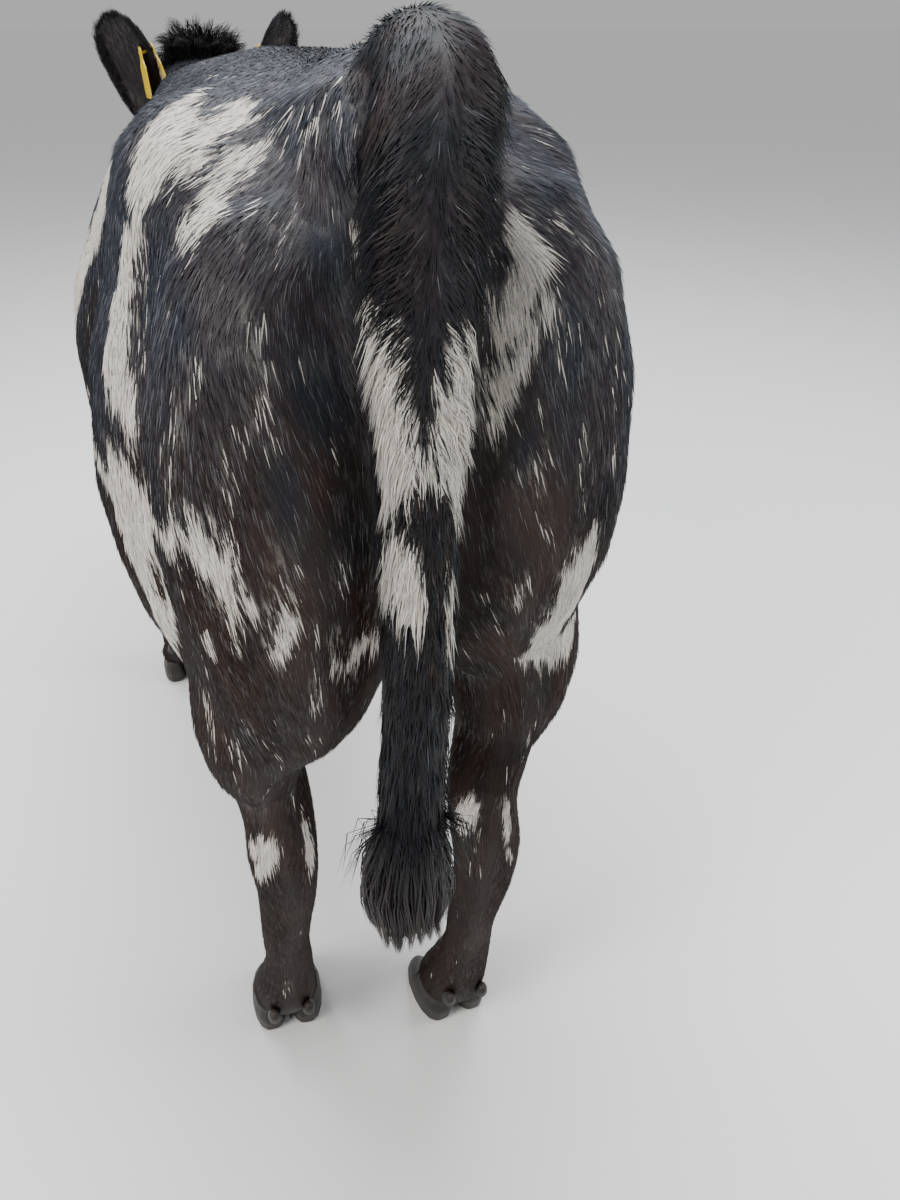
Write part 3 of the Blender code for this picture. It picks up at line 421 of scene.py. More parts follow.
def add_camera():
    """The photograph's own point of view."""
    data = bpy.data.cameras.new("photo_camera")
    camera = bpy.data.objects.new("photo_camera", data)
    bpy.context.scene.collection.objects.link(camera)
    data.sensor_width = 36
    data.lens = FOCAL_PIXELS / PHOTO_HEIGHT * data.sensor_width
    data.clip_start = 0.02
    camera.location = CAMERA_PLACE
    camera.rotation_mode = "QUATERNION"
    camera.rotation_quaternion = photo_ray(PHOTO_WIDTH / 2, PHOTO_HEIGHT / 2).to_track_quat("-Z", "Y")
    bpy.context.scene.camera = camera


def add_light(name, place, target, size, power, colour):
    data = bpy.data.lights.new(name, "AREA")
    data.shape = "DISK"
    data.size = size
    data.energy = power
    data.color = colour
    light = bpy.data.objects.new(name, data)
    bpy.context.scene.collection.objects.link(light)
    light.location = place
    light.rotation_mode = "QUATERNION"
    light.rotation_quaternion = (Vector(target) - Vector(place)).to_track_quat("-Z", "Y")


FLOOR_RADIUS = 400


def add_studio():
    """A plain pale floor under soft light from above and from both sides."""
    world = bpy.data.worlds.new("studio")
    world.use_nodes = True
    bpy.context.scene.world = world
    back = world.node_tree.nodes["Background"]
    back.inputs[0].default_value = (0.80, 0.80, 0.80, 1)
    back.inputs[1].default_value = 0.62
    add_light("sky", (0.2, 0.6, 4.4), (0, 0, 0.8), 3.6, 235, (0.95, 0.97, 1.0))
    add_light("key", (-3.0, -2.4, 3.2), (0, -0.5, 0.8), 1.8, 120, (1.0, 0.98, 0.95))
    add_light("fill", (3.0, -1.8, 2.2), (0, -0.3, 0.7), 2.2, 50, (1.0, 0.99, 0.97))
    bm = bmesh.new()
    bmesh.ops.create_circle(bm, cap_ends=True, radius=FLOOR_RADIUS, segments=96)
    mesh = bpy.data.meshes.new("floor")
    bm.to_mesh(mesh)
    bm.free()
    floor = link("floor", mesh)
    finish = Finish("pale_floor", 0.9, (0.97, 0.97, 0.97), Specular_IOR_Level=0.1)
    floor.data.materials.append(finish.material)


# The skin

def build_skin():
    """All the flesh as one closed surface, a little inside the solids' own."""
    skin = merged_copy("skin", FLESH + ["eye_left", "eye_right"], SKIN_SWELL)
    fuse(skin, SKIN_VOXEL)
    apply_modifiers(skin)
    co = place_from_tail(coordinates(skin.data))
    _, above, along = face_numbers(co)
    head = smooth(co[:, 1], 1.50, 1.56)
    tuft = head * smooth(above, -0.035, -0.012) * smooth(-along, -0.11, -0.08)
    slim = 1 - smooth(co[:, 2], 0.46, 0.62)
    everywhere = np.full(len(co), 0.6)
    parts = (("body", (1 - head) * (1 - 0.8 * slim), 24), ("crown", tuft, 40), ("all", everywhere, 4))
    for name, weight, rounds in parts:
        weigh(skin, name, weight)
        soften(skin, rounds, name)
    apply_modifiers(skin)
    near = smooth(-along, -0.52, -0.50) * smooth(along, -0.06, -0.02) * head
    weigh(skin, "free", 1 - 0.75 * near)
    skin.data.calc_loop_triangles()
    thin = skin.modifiers.new("Thin", "DECIMATE")
    thin.ratio = SKIN_TRIANGLES / len(skin.data.loop_triangles)
    thin.vertex_group = "free"
    thin.vertex_group_factor = 1.0
    apply_modifiers(skin)
    skin.vertex_groups.clear()
    inset(skin)
    sculpt_face(skin)
    sculpt_lids(skin)
    return skin


# The eyes and their lids

SLIT_HALF_LENGTH = 0.0188
UPPER_OPENING = 0.0126
LOWER_OPENING = 0.0094
IRIS_RADIUS = 0.0162
PUPIL_HALF_LENGTH = 0.0082
PUPIL_HALF_HEIGHT = 0.0046
EYE_SURROUND = 0.05


def eye_axes(side):
    """The way an eye looks, the way its slit runs to the inner corner, and the way up across the lids."""
    gaze = (Vector((SIGN[side] * 0.93, 0, 0)) + FACE_UP * 0.20 + FACE_DOWN * 0.24).normalized()
    slit = FACE_DOWN * math.cos(math.radians(20)) + FACE_UP * math.sin(math.radians(20))
    slit = (slit - gaze * slit.dot(gaze)).normalized()
    up = gaze.cross(slit)
    if up.dot(FACE_UP) < 0:
        up = -up
    return gaze, slit, up


def eye_numbers(points, side):
    """Along the slit, up across it and out along the gaze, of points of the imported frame."""
    rel = points - np.array(EYE[side])
    gaze, slit, up = (np.array(axis) for axis in eye_axes(side))
    return rel @ slit, rel @ up, rel @ gaze


def outside_slit(a, b):
    """How far a point of the lids lies outside the almond opening; less than 0 inside it."""
    t = np.clip(np.abs(a) / SLIT_HALF_LENGTH, 0, 1)
    height = np.where(b > 0, UPPER_OPENING, LOWER_OPENING) * (1 - t ** 2.0) ** 0.85
    beyond = np.maximum(np.abs(a) - SLIT_HALF_LENGTH, 0)
    above = np.abs(b) - height
    return np.where(beyond > 0, np.hypot(beyond, b), above)


def refine(skin, chosen):
    """Splits the edges whose two ends are both chosen."""
    bm = bmesh.new()
    bm.from_mesh(skin.data)
    bm.verts.ensure_lookup_table()
    edges = [e for e in bm.edges if chosen[e.verts[0].index] and chosen[e.verts[1].index]]
    bmesh.ops.subdivide_edges(bm, edges=edges, cuts=1)
    bmesh.ops.triangulate(bm, faces=bm.faces)
    bm.to_mesh(skin.data)
    bm.free()


def sculpt_lids(skin):
    """Opens each eye as an almond with a rolled rim and a fold above and below it."""
    for reach in (0.046, 0.034, 0.029):
        co = coordinates(skin.data)
        near = np.zeros(len(co), bool)
        for side in EYE:
            a, b, c = eye_numbers(co, side)
            near |= (np.hypot(a, b * 1.15) < reach) & (c > 0) & (c < EYE_SURROUND)
        refine(skin, near)
    co = coordinates(skin.data)
    for side in EYE:
        centre = np.array(EYE[side])
        gaze, slit, up = (np.array(axis) for axis in eye_axes(side))
        a, b, c = eye_numbers(co, side)
        out = outside_slit(a, b)
        near = (c > 0) & (c < EYE_SURROUND) & (np.hypot(a, b) < EYE_SURROUND)
        rim = near & (out > -0.0016) & (out < 0.0004)
        b = np.where(rim, b + np.sign(b) * (0.0002 - out), b)
        moved = centre + a[:, None] * slit + b[:, None] * up + c[:, None] * gaze
        out = np.where(rim, 0.0002, out)
        way = normalised(moved - centre)
        upper = smooth(b, -0.004, 0.006)
        height = EYE_RADIUS + 0.0009 + (0.0017 + 0.0009 * upper) * smooth(out, 0, 0.0022)
        height -= (0.0013 + 0.0009 * upper) * np.exp(-((out - 0.0085) / 0.0016) ** 2)
        height -= 0.0008 * np.exp(-((out - 0.0125) / 0.0015) ** 2)
        height = np.where(out < -0.0002, EYE_RADIUS - 0.0035, height)
        hold = np.where(near, 1 - smooth(out, 0.0070, 0.0165), 0)
        target = centre + way * height[:, None]
        co = np.where(near[:, None], moved + (target - moved) * hold[:, None], co)
    set_coordinates(skin.data, co)


NOSTRIL_ACROSS = 0.0435
NOSTRIL_ABOVE = -0.066
# The line of the mouth on the side of the muzzle: (along, above) from the front to the corner.
MOUTH_LINE = [(0.445, -0.141), (0.405, -0.140), (0.370, -0.139), (0.328, -0.134)]


def nostril_ring(across, above):
    """0 in a nostril's middle, 1 at its rim: a slanting comma, wider at its inner end."""
    u = np.abs(across) - NOSTRIL_ACROSS
    v = above - NOSTRIL_ABOVE
    slant = u * 0.85 + v * 0.52
    thick = v * 0.85 - u * 0.52
    return np.hypot(slant / 0.0150, thick / 0.0092)


def mouth_gap(above, along):
    """How far each point of the face is from the line of the mouth."""
    level = np.interp(along, [row[0] for row in MOUTH_LINE][::-1], [row[1] for row in MOUTH_LINE][::-1])
    past = np.maximum(MOUTH_LINE[-1][0] - along, 0)
    return np.hypot(above - level, past)


def sculpt_face(skin):
    """Hollows, the line of the mouth, nostril rims and the folds of the muzzle, cut into the skin."""
    for limit in (0.325, 0.400):
        across, above, along = face_numbers(place_from_tail(coordinates(skin.data)))
        muzzle = (along > limit) & (along < 0.6) & (above < 0.05) & (above > -0.24)
        refine(skin, muzzle & (np.abs(across) < 0.12))
    co = coordinates(skin.data)
    normals = point_normals(skin.data)
    points = place_from_tail(co)
    across, above, along = face_numbers(points)
    head = smooth(points[:, 1], 1.50, 1.57) * smooth(along, -0.05, 0.0)
    out = np.abs(across)

    def bump(value, middle, spread):
        return np.exp(-((value - middle) / spread) ** 2)

    move = np.zeros(len(co))
    move += 0.0075 * bump(along, 0.135, 0.062) * smooth(out, 0.045, 0.075) * bump(above, -0.170, 0.052)
    move -= 0.0045 * bump(along, 0.255, 0.050) * smooth(out, 0.030, 0.055) * bump(above, -0.125, 0.036)
    move -= 0.0065 * bump(along, 0.330, 0.045) * smooth(out, 0.022, 0.045) * bump(above, -0.055, 0.050)
    move -= 0.0050 * bump(along, 0.190, 0.040) * smooth(out, 0.035, 0.060) * bump(above, -0.035, 0.022)
    move -= 0.0060 * bump(along, 0.035, 0.030) * smooth(out, 0.060, 0.080) * bump(above, -0.150, 0.060)
    crest = bump(above - (-0.062 - 0.10 * (along - 0.20)), 0, 0.010) * smooth(along, 0.12, 0.18)
    move += 0.0034 * crest * (1 - smooth(along, 0.25, 0.31)) * smooth(out, 0.045, 0.065)
    veins = bump(above - (-0.085 + 0.16 * (along - 0.30)), 0, 0.0035) * bump(along, 0.285, 0.050)
    move += 0.0010 * veins * smooth(out, 0.03, 0.05)
    mouth = mouth_gap(above, along)
    side = smooth(out, 0.010, 0.024)
    move -= 0.0046 * np.exp(-(mouth / 0.0030) ** 2) * side
    move += 0.0022 * np.exp(-((mouth - 0.0090) / 0.0050) ** 2) * side * smooth(along, 0.335, 0.36)
    front = smooth(along, 0.400, 0.425)
    ring = nostril_ring(across, above)
    move -= 0.0060 * (1 - smooth(ring, 0.55, 1.0)) * front
    move += 0.0022 * np.exp(-((ring - 1.28) / 0.26) ** 2) * front
    cleft = smooth(along, 0.432, 0.446) * (1 - smooth(above, -0.075, -0.060))
    move -= 0.0016 * bump(across, 0.0, 0.0022) * cleft
    fold = bump(along - 0.404 - 0.12 * (above + 0.07), 0, 0.0030) * smooth(out, 0.042, 0.055)
    move -= 0.0018 * fold * bump(above, -0.080, 0.040)
    wrinkle = np.sin(along * 900 + 1.5 * np.sin(out * 90)) * smooth(along, 0.350, 0.380)
    move += 0.00012 * wrinkle * (1 - smooth(along, 0.415, 0.43)) * smooth(above, -0.10, -0.06)
    set_coordinates(skin.data, co + normals * (move * head)[:, None])
    nostrils = head * front * (1 - smooth(ring, 1.5, 2.0)) > 0.3
    brow = head * smooth(above, -0.075, -0.050) * bump(along, 0.125, 0.045) * smooth(out, 0.055, 0.075) > 0.3
    for name, chosen, rounds in (("nostrils", nostrils, 7), ("brow", brow, 26)):
        weigh(skin, name, chosen)
        soften(skin, rounds, name)
    apply_modifiers(skin)
    skin.vertex_groups.clear()


def build_eye(side):
    """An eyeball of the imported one's size: dark iris, long low pupil, brown white at the corners."""
    bpy.ops.object.select_all(action="DESELECT")
    bpy.ops.mesh.primitive_uv_sphere_add(segments=72, ring_count=48, radius=EYE_RADIUS, location=(0, 0, 0))
    eye = bpy.context.active_object
    eye.name = "eyeball_" + side
    mesh = eye.data
    set_coordinates(mesh, coordinates(mesh) + np.array(EYE[side]))
    a, b, c = eye_numbers(coordinates(mesh), side)
    across = np.hypot(a, b)
    iris = (1 - smooth(across, IRIS_RADIUS - 0.0012, IRIS_RADIUS + 0.0003)) * (c > 0)
    angle = np.arctan2(b, a)
    ray = 0.75 + 0.25 * np.sin(angle * 37) * np.sin(angle * 23 + 1)
    brown = IRIS[None] * ray[:, None]
    brown = brown * (1 - 0.65 * smooth(across, IRIS_RADIUS * 0.72, IRIS_RADIUS))[:, None]
    fade = 1 - 0.55 * smooth(across, IRIS_RADIUS, EYE_RADIUS)
    colour = toward(EYE_WHITE[None] * fade[:, None], brown, iris)
    pupil = 1 - smooth(np.hypot(a / PUPIL_HALF_LENGTH, b / PUPIL_HALF_HEIGHT), 0.86, 1.06)
    colour = colour * (1 - (0.95 * pupil * (c > 0)))[:, None]
    set_colours(mesh, "tint", colour)
    mesh.shade_smooth()
    finish = Finish("wet_eye_" + side, 0.05, Specular_IOR_Level=0.18)
    finish.feed("Base Color", finish.attribute("tint"))
    finish.bump(finish.noise(finish.here(), 600, 2.0), 0.04, 0.0004)
    dress(eye, finish, "eye", "eye_" + side)


def add_lashes(side, unwrap):
    """Long lashes from the upper rim and short ones from the lower."""
    gaze, slit, up = (np.array(axis) for axis in eye_axes(side))
    rows = []
    for sign, count, length, opening in ((1, 56, 0.0170, UPPER_OPENING), (-1, 30, 0.0080, LOWER_OPENING)):
        t = np.linspace(-0.90, 0.93, count) + (rng.random(count) - 0.5) * 0.03
        a = t * SLIT_HALF_LENGTH
        b = sign * (opening * (1 - t ** 2) ** 0.85 + 0.0012)
        c = np.sqrt(np.maximum((EYE_RADIUS + 0.0022) ** 2 - a * a - b * b, 0))
        root = np.array(EYE[side]) + a[:, None] * slit + b[:, None] * up + c[:, None] * gaze
        first = normalised(gaze + up * sign * 0.25 + slit * (t * 0.45)[:, None])
        last = normalised(gaze * 0.55 + up * (0.55 if sign > 0 else -0.75) + slit * (t * 0.6)[:, None])
        size = length * (0.75 + 0.4 * rng.random(count)) * (1 - 0.35 * t * t)
        rows.append(grow(root, first, last, size, 3))
    path = np.concatenate(rows)
    normal = np.tile(up, (len(path), 1))
    tint = np.tile(LASH, (len(path), 1))
    width = np.full(len(path), 0.00055)
    lashes = strand_mesh("lashes_" + side, path, normal, width, tint, unwrap.at(path[:, 0]))
    dress(lashes, hair_finish("lash_hair_" + side, 0.4), "coat")


def coat_depth(places):
    """How deep the coat is over each point of the skin."""
    foot = 1 - smooth(places[:, 2], 0.12, 0.45)
    fine = np.clip(on_face(places) + foot, 0, 1)
    return COAT_DEPTH + (FACE_COAT_DEPTH - COAT_DEPTH) * fine


def inset(skin):
    """Draws the skin in by the depth of the coat that will stand on it."""
    co = coordinates(skin.data)
    normals = point_normals(skin.data)
    set_coordinates(skin.data, co - normals * coat_depth(place_from_tail(co))[:, None])


# Markings: strokes of white over the dark coat, placed where the photograph shows them

# Each stroke is a row of photograph pixels with a half width in pixels.
WHITE_ON_BODY = [
    [(133, 188, 12), (150, 168, 20), (166, 138, 26), (188, 108, 18), (206, 90, 8)],
    [(190, 164, 8), (206, 142, 14), (230, 122, 13), (256, 106, 8)],
    [(190, 228, 9), (210, 206, 13), (234, 172, 8), (262, 144, 5), (284, 122, 3)],
    [(206, 78, 4), (238, 76, 5)],
    [(134, 219, 11), (126, 255, 15), (117, 300, 15), (115, 345, 15), (121, 380, 14), (129, 410, 8),
     (132, 432, 4)],
    [(118, 198, 2.5), (108, 236, 3), (97, 280, 3)],
    [(75, 308, 5), (77, 336, 4)],
    [(79, 390, 5), (92, 436, 9), (108, 476, 14), (134, 516, 20), (150, 560, 15), (160, 610, 18),
     (172, 645, 14)],
    [(122, 462, 7), (140, 500, 12), (166, 536, 15)],
    [(190, 512, 7), (197, 545, 12), (214, 564, 19), (226, 590, 11)],
    [(248, 596, 5), (254, 612, 5)],
    [(289, 620, 10), (280, 645, 12)],
    [(162, 662, 6), (180, 690, 6)],
    [(200, 640, 4), (206, 668, 5)],
    [(188, 704, 4), (212, 750, 4)],
    [(330, 664, 4), (350, 658, 5), (374, 638, 7)],
    [(254, 846, 10), (272, 850, 11), (262, 866, 8)],
    [(300, 818, 4), (309, 840, 5), (313, 864, 4)],
    [(358, 226, 8), (365, 262, 9), (374, 296, 8)],
    [(516, 222, 14), (532, 256, 19), (516, 298, 15), (502, 334, 11)],
    [(548, 300, 7), (530, 344, 9), (506, 384, 10), (496, 414, 6)],
    [(576, 174, 5), (597, 203, 8), (618, 238, 5)],
    [(632, 356, 5), (628, 392, 5)],
    [(596, 530, 8), (584, 572, 17), (568, 612, 19), (548, 644, 16), (526, 658, 7)],
    [(547, 528, 5), (546, 540, 4)],
    [(517, 590, 4), (519, 602, 4)],
    [(470, 804, 10), (466, 820, 11)],
    [(507, 806, 3), (511, 852, 3)],
]
BLACK_ON_BODY = [
    [(152, 545, 6), (160, 588, 6)],
    [(142, 640, 4), (150, 668, 4)],
    [(186, 566, 5), (196, 606, 7), (204, 630, 6)],
]
# Patches of mingled white and dark hair: the share of white, then pixels as above.
MINGLED_ON_BODY = [
    (0.62, [(514, 214, 20), (536, 246, 32), (526, 292, 36), (508, 336, 30), (502, 384, 24), (496, 424, 13)]),
    (0.34, [(562, 222, 24), (558, 300, 28), (536, 372, 28), (518, 430, 16)]),
    (0.26, [(352, 214, 16), (345, 262, 24), (362, 300, 16)]),
    (0.16, [(300, 176, 26), (306, 250, 34), (318, 320, 26)]),
    (0.42, [(196, 190, 22), (226, 158, 26), (262, 124, 22), (300, 108, 14)]),
    (0.36, [(182, 240, 16), (206, 214, 24), (246, 176, 20), (286, 132, 16)]),
    (0.34, [(150, 470, 26), (186, 520, 34), (226, 588, 34), (240, 634, 22)]),
    (0.30, [(176, 640, 20), (204, 678, 18), (222, 740, 12)]),
    (0.22, [(540, 520, 20), (546, 590, 26), (520, 600, 16)]),
    (0.20, [(96, 250, 12), (88, 320, 14), (92, 380, 14)]),
]
RUST_ON_BODY = [
    [(300, 420, 18), (292, 480, 44), (296, 560, 42), (316, 620, 22)],
    [(536, 420, 20), (536, 490, 36), (528, 570, 30), (500, 640, 20)],
]
# Tail hair hangs well below its roots, so these lie a little above the white that they make.
WHITE_ON_TAIL = [
    [(376, 288, 7), (386, 325, 15), (396, 368, 20), (400, 412, 22), (402, 456, 22), (398, 480, 14)],
    [(470, 322, 10), (461, 360, 18), (455, 404, 21), (455, 446, 20), (456, 480, 14), (460, 500, 8)],
    [(425, 448, 8), (430, 466, 9)],
    [(391, 524, 12), (397, 550, 20), (404, 580, 18), (411, 604, 9)],
    [(452, 560, 8), (453, 594, 12), (454, 626, 10), (456, 652, 5)],
]
BLACK_ON_TAIL = [
    [(426, 290, 12), (425, 345, 10), (427, 415, 8)],
]

# Further patches on the sides that the photograph doesn't show: place from the tail head, half width.
WHITE_UNSEEN = [
    [(-0.20, 0.46, 1.13, 0.030), (-0.245, 0.58, 1.03, 0.042), (-0.26, 0.70, 0.90, 0.046),
     (-0.26, 0.78, 0.78, 0.022)],
    [(-0.24, 0.66, 1.02, 0.016), (-0.26, 0.74, 0.95, 0.026)],
    [(-0.25, 0.88, 0.84, 0.014), (-0.25, 0.90, 0.78, 0.010)],
    [(-0.25, 0.40, 0.66, 0.030), (-0.24, 0.56, 0.62, 0.045), (-0.20, 0.72, 0.57, 0.050),
     (-0.10, 0.90, 0.54, 0.045)],
    [(0.24, 0.44, 1.06, 0.012), (0.255, 0.50, 1.02, 0.026), (0.27, 0.60, 0.93, 0.040),
     (0.27, 0.67, 0.80, 0.024)],
    [(0.27, 0.56, 0.84, 0.016), (0.27, 0.60, 0.77, 0.012)],
    [(0.27, 0.74, 0.96, 0.014), (0.27, 0.77, 0.91, 0.018)],
    [(0.23, 0.40, 0.66, 0.016), (0.24, 0.50, 0.62, 0.032), (0.20, 0.66, 0.575, 0.044),
     (0.10, 0.84, 0.545, 0.050)],
    [(0.235, 1.10, 0.88, 0.018), (0.23, 1.13, 0.82, 0.030), (0.22, 1.17, 0.76, 0.014)],
    [(-0.225, 1.06, 0.95, 0.022), (-0.235, 1.05, 0.88, 0.016)],
    [(0.0, 1.62, 1.145, 0.013), (0.002, 1.655, 1.105, 0.008)],
]


# The photographed markings all lie within this distance ahead of the tail head.
REAR_REACH = 0.80


def strokes_on(tree, rows, wider=1.0):
    """Chains of (place, half width) on the skin, from rows of photograph pixels."""
    chains = []
    for row in rows:
        chain = []
        for x, y, half in row:
            ray = photo_ray(x, y)
            hit = tree.ray_cast(CAMERA_PLACE, ray)[0]
            if hit is None or hit.y - TAIL_HEAD.y > REAR_REACH:
                found = [tree.find_nearest(CAMERA_PLACE + ray * t) for t in np.linspace(0.6, 2.0, 57)]
                found = [one for one in found if one[0].y - TAIL_HEAD.y < REAR_REACH]
                hit = min(found, key=lambda one: one[3])[0]
            depth = (hit - CAMERA_PLACE).length
            chain.append((hit - TAIL_HEAD, half * wider * depth / FOCAL_PIXELS))
        chains.append(chain)
    return chains


def stroke_cover(points, chains):
    """How far inside the strokes each point lies, in metres, and less than 0 outside them."""
    best = np.full(len(points), -9.0)
    for chain in chains:
        for (a, ra), (b, rb) in zip(chain, chain[1:]):
            a, b = np.array(a), np.array(b)
            span = b - a
            t = np.clip((points - a) @ span / max(span @ span, 1e-9), 0, 1)
            gap = np.linalg.norm(points - a - t[:, None] * span, axis=1)
            radius = ra + (rb - ra) * t
            best = np.maximum(best, radius - gap)
    return best


def on_tail(points):
    """True where a point belongs to the tail and not to what is behind it."""
    chain = [(Vector(row[:3]), row[3]) for row in TAIL_LINE]
    return stroke_cover(points, [chain]) > 0


def off_tail_middle(points):
    """How far to the right of the tail's own middle each point lies."""
    heights = [row[2] for row in TAIL_LINE][::-1]
    return points[:, 0] - np.interp(points[:, 2], heights, [row[0] for row in TAIL_LINE][::-1])


def pixel_chains(rows, wider):
    """Chains of (pixel, half width) for strokes measured in the photograph."""
    return [[(np.array((x, y)), half * wider) for x, y, half in row] for row in rows]


class Markings:
    """Where the coat is white, mingled or rusty, as the photograph shows it or as is guessed."""

    def __init__(self, skin):
        bm = bmesh.new()
        bm.from_mesh(skin.data)
        self.tree = BVHTree.FromBMesh(bm)
        bm.free()
        self.round_body = strokes_on(self.tree, WHITE_ON_BODY)
        self.unseen = [[(Vector(p[:3]), p[3]) for p in row] for row in WHITE_UNSEEN]

    def in_view(self, points, normals):
        """How far each point is turned to the camera, and -1 where something hides it."""
        eye = CAMERA_PLACE - TAIL_HEAD
        way = normalised(np.array(eye)[None] - points)
        facing = np.sum(way * normals, 1)
        start = points + np.array(TAIL_HEAD) + normals * 0.006 + way * 0.004
        for i in np.nonzero(facing > 0)[0]:
            if self.tree.ray_cast(Vector(start[i]), Vector(way[i]), 2.0)[0] is not None:
                facing[i] = -1
        return facing

    def cover(self, points, facing, rows, wider=1.0):
        """How far inside strokes of photograph pixels each point lies, in metres.

        Strokes narrow where the skin turns away from the camera, because a pixel covers a long stretch there.
        """
        spots, far = photo_pixels(points)
        inside = stroke_cover(spots, pixel_chains(rows, wider)) * far / FOCAL_PIXELS
        inside = inside - 0.032 * (1 - smooth(facing, 0.05, 0.34))
        return np.where((facing > 0) & (points[:, 1] < REAR_REACH), inside, -9.0)

    def white(self, points, facing):
        """A share of white hair, from 0 to 1: edges run out in streaks along the hair."""
        streak = cloud(points, 0.0040, 11, (1, 1, 8)) + 0.8 * cloud(points, 0.011, 12, (1, 1, 5)) - 0.9
        wander = np.stack([cloud(points, 0.024, 21 + i, (1, 1, 2.2)) - 0.5 for i in range(3)], 1) * 0.010
        wander[:, 2] += streak * 0.009
        wander[:, 1] += streak * 0.004
        moved = points + wander
        broad = np.stack([cloud(points, 0.060, 24 + i) - 0.5 for i in range(3)], 1) * 0.034
        body = self.cover(moved, facing, WHITE_ON_BODY, 1.04)
        body = np.maximum(body, stroke_cover(moved + broad, self.unseen))
        body = np.maximum(body, stroke_cover(moved, self.round_body) - 0.004)
        body = np.minimum(body, -self.cover(moved, facing, BLACK_ON_BODY))
        hair = np.minimum(self.cover(moved, facing, WHITE_ON_TAIL), -self.cover(moved, facing, BLACK_ON_TAIL))
        tail = on_tail(points)
        flecks = 0.006 * (cloud(points, 0.006, 31, (1, 1, 3)) - 0.5)
        share = smooth(np.where(tail, hair, body) + flecks, -0.0030, 0.0042)
        strands = cloud(points, 0.0045, 32, (1, 1, 7)) * 0.6 + cloud(points, 0.015, 33, (1, 1, 4)) * 0.9
        for amount, row in MINGLED_ON_BODY:
            part = amount * smooth(self.cover(points + wander * 2, facing, [row]), -0.020, 0.024)
            part = part * smooth(strands, 0.95 - 0.6 * part, 1.30 - 0.6 * part) * 1.5
            share = np.maximum(share, np.where(tail, 0, np.minimum(part, 0.85)))
        return share

    def rust(self, points, facing):
        """A share of rusty brown, from 0 to 1."""
        near = smooth(self.cover(points, facing, RUST_ON_BODY), -0.040, 0.050)
        return near * smooth(cloud(points, 0.028, 41, (1, 1, 2)), 0.15, 0.75)


DARK = np.array((0.0085, 0.0094, 0.0130))
# Blue-grey of roan hair, which also stands for a painted sheen of sky light on the top of the back and rump
SLATE_ROAN_AND_SHEEN = np.array((0.0270, 0.0320, 0.0450))
BROWN = np.array((0.0130, 0.0074, 0.0056))
RUST = np.array((0.0620, 0.0250, 0.0110))
WHITE_HAIR = np.array((0.690, 0.650, 0.590))
PALE_HAIR = np.array((0.200, 0.206, 0.226))
TIP_BROWN = np.array((0.0300, 0.0170, 0.0110))
PINK = np.array((0.430, 0.215, 0.170))
UDDER_HAIR = np.array((0.360, 0.270, 0.220))
NOSE = np.array((0.0062, 0.0060, 0.0066))
LID_RIM = np.array((0.0065, 0.0055, 0.0055))
EAR_SKIN = np.array((0.030, 0.021, 0.020))
HORN = np.array((0.0120, 0.0102, 0.0095))
WORN_HORN = np.array((0.060, 0.048, 0.038))
SOFT_HORN = np.array((0.050, 0.036, 0.028))
LASH = np.array((0.006, 0.005, 0.005))
IRIS = np.array((0.016, 0.0068, 0.0038))
EYE_WHITE = np.array((0.020, 0.014, 0.012))


def roan_and_sheen_share(points):
    """How much of the coat is blue-grey, strongest on the back and rump: partly roan hair and partly painted
    sheen of sky light on the top.
    """
    # The blue-grey grows higher on the body: painted sheen of sky light on the top
    high = smooth(points[:, 2], 0.84, 1.14)
    rear = 1 - smooth(points[:, 1], 1.0, 1.4)
    patchy = 0.45 + 0.75 * cloud(points, 0.10, 31, (1, 1, 1.6))
    dock = np.where(on_tail(points), 0.75, 0.0)
    return np.clip(high * patchy * (0.35 + 0.65 * rear), 0, 1) * (1 - dock)


def pink_share(points):
    """Bare pink skin on the udder and between the thighs."""
    gap = np.linalg.norm((points - np.array((0.010, 0.330, 0.600))) / np.array((0.085, 0.125, 0.080)), axis=1)
    return smooth(-gap, -1.12, -0.92)


def nose_share(points):
    """The wet pad round the nostrils, down to the edge of the upper lip."""
    across, above, along = face_numbers(points)
    wide = np.abs(across) / (0.064 - 0.22 * np.maximum(-0.085 - above, 0))
    top = along + 0.35 * (above + 0.050)
    pad = smooth(top, 0.436, 0.446) * smooth(above, -0.134, -0.126) * smooth(-wide, -1.08, -0.94)
    return pad * smooth(points[:, 1], 1.5, 1.55)


def dark_coat(points, markings, facing):
    """The colour of the dark coat, without its white; its blue-grey is partly roan hair and partly painted
    sheen on the top.
    """
    low = 1 - smooth(points[:, 2], 0.78, 1.08)
    # The blue-grey drawn in here is partly roan hair and partly painted sheen on the top
    colour = toward(toward(DARK, BROWN, low), SLATE_ROAN_AND_SHEEN, roan_and_sheen_share(points))
    return toward(colour, RUST, 0.80 * markings.rust(points, facing))


def skin_colour(points, normals, markings):
    """The skin under the hair, in the coat's colours, and bare on the udder, nose and lids, with painted
    shade in the nostrils and along the mouth.
    """
    facing = markings.in_view(points, normals)
    colour = dark_coat(points, markings, facing)
    colour = toward(colour, WHITE_HAIR * 0.92, markings.white(points, facing))
    colour = toward(colour, PINK, pink_share(points))
    colour = toward(colour, NOSE, nose_share(points))
    across, above, along = face_numbers(points)
    # Painted shade: the insides of the nostrils and the line of the mouth are darkened
    inside = (1 - smooth(nostril_ring(across, above), 0.55, 1.0)) * smooth(along, 0.40, 0.425)
    lips = np.exp(-(mouth_gap(above, along) / 0.0035) ** 2) * smooth(np.abs(across), 0.008, 0.02)
    painted_shade = np.maximum(inside, 0.75 * lips) * smooth(points[:, 1], 1.5, 1.55)
    colour = colour * (1 - 0.88 * painted_shade)[:, None]
    for side in EYE:
        a, b, c = eye_numbers(points + np.array(TAIL_HEAD), side)
        near = (c > 0) & (c < EYE_SURROUND) & (np.hypot(a, b) < EYE_SURROUND)
        rim = (1 - smooth(outside_slit(a, b), 0.0018, 0.0045)) * near
        colour = toward(colour, LID_RIM, rim)
    return colour


# The lie of the coat

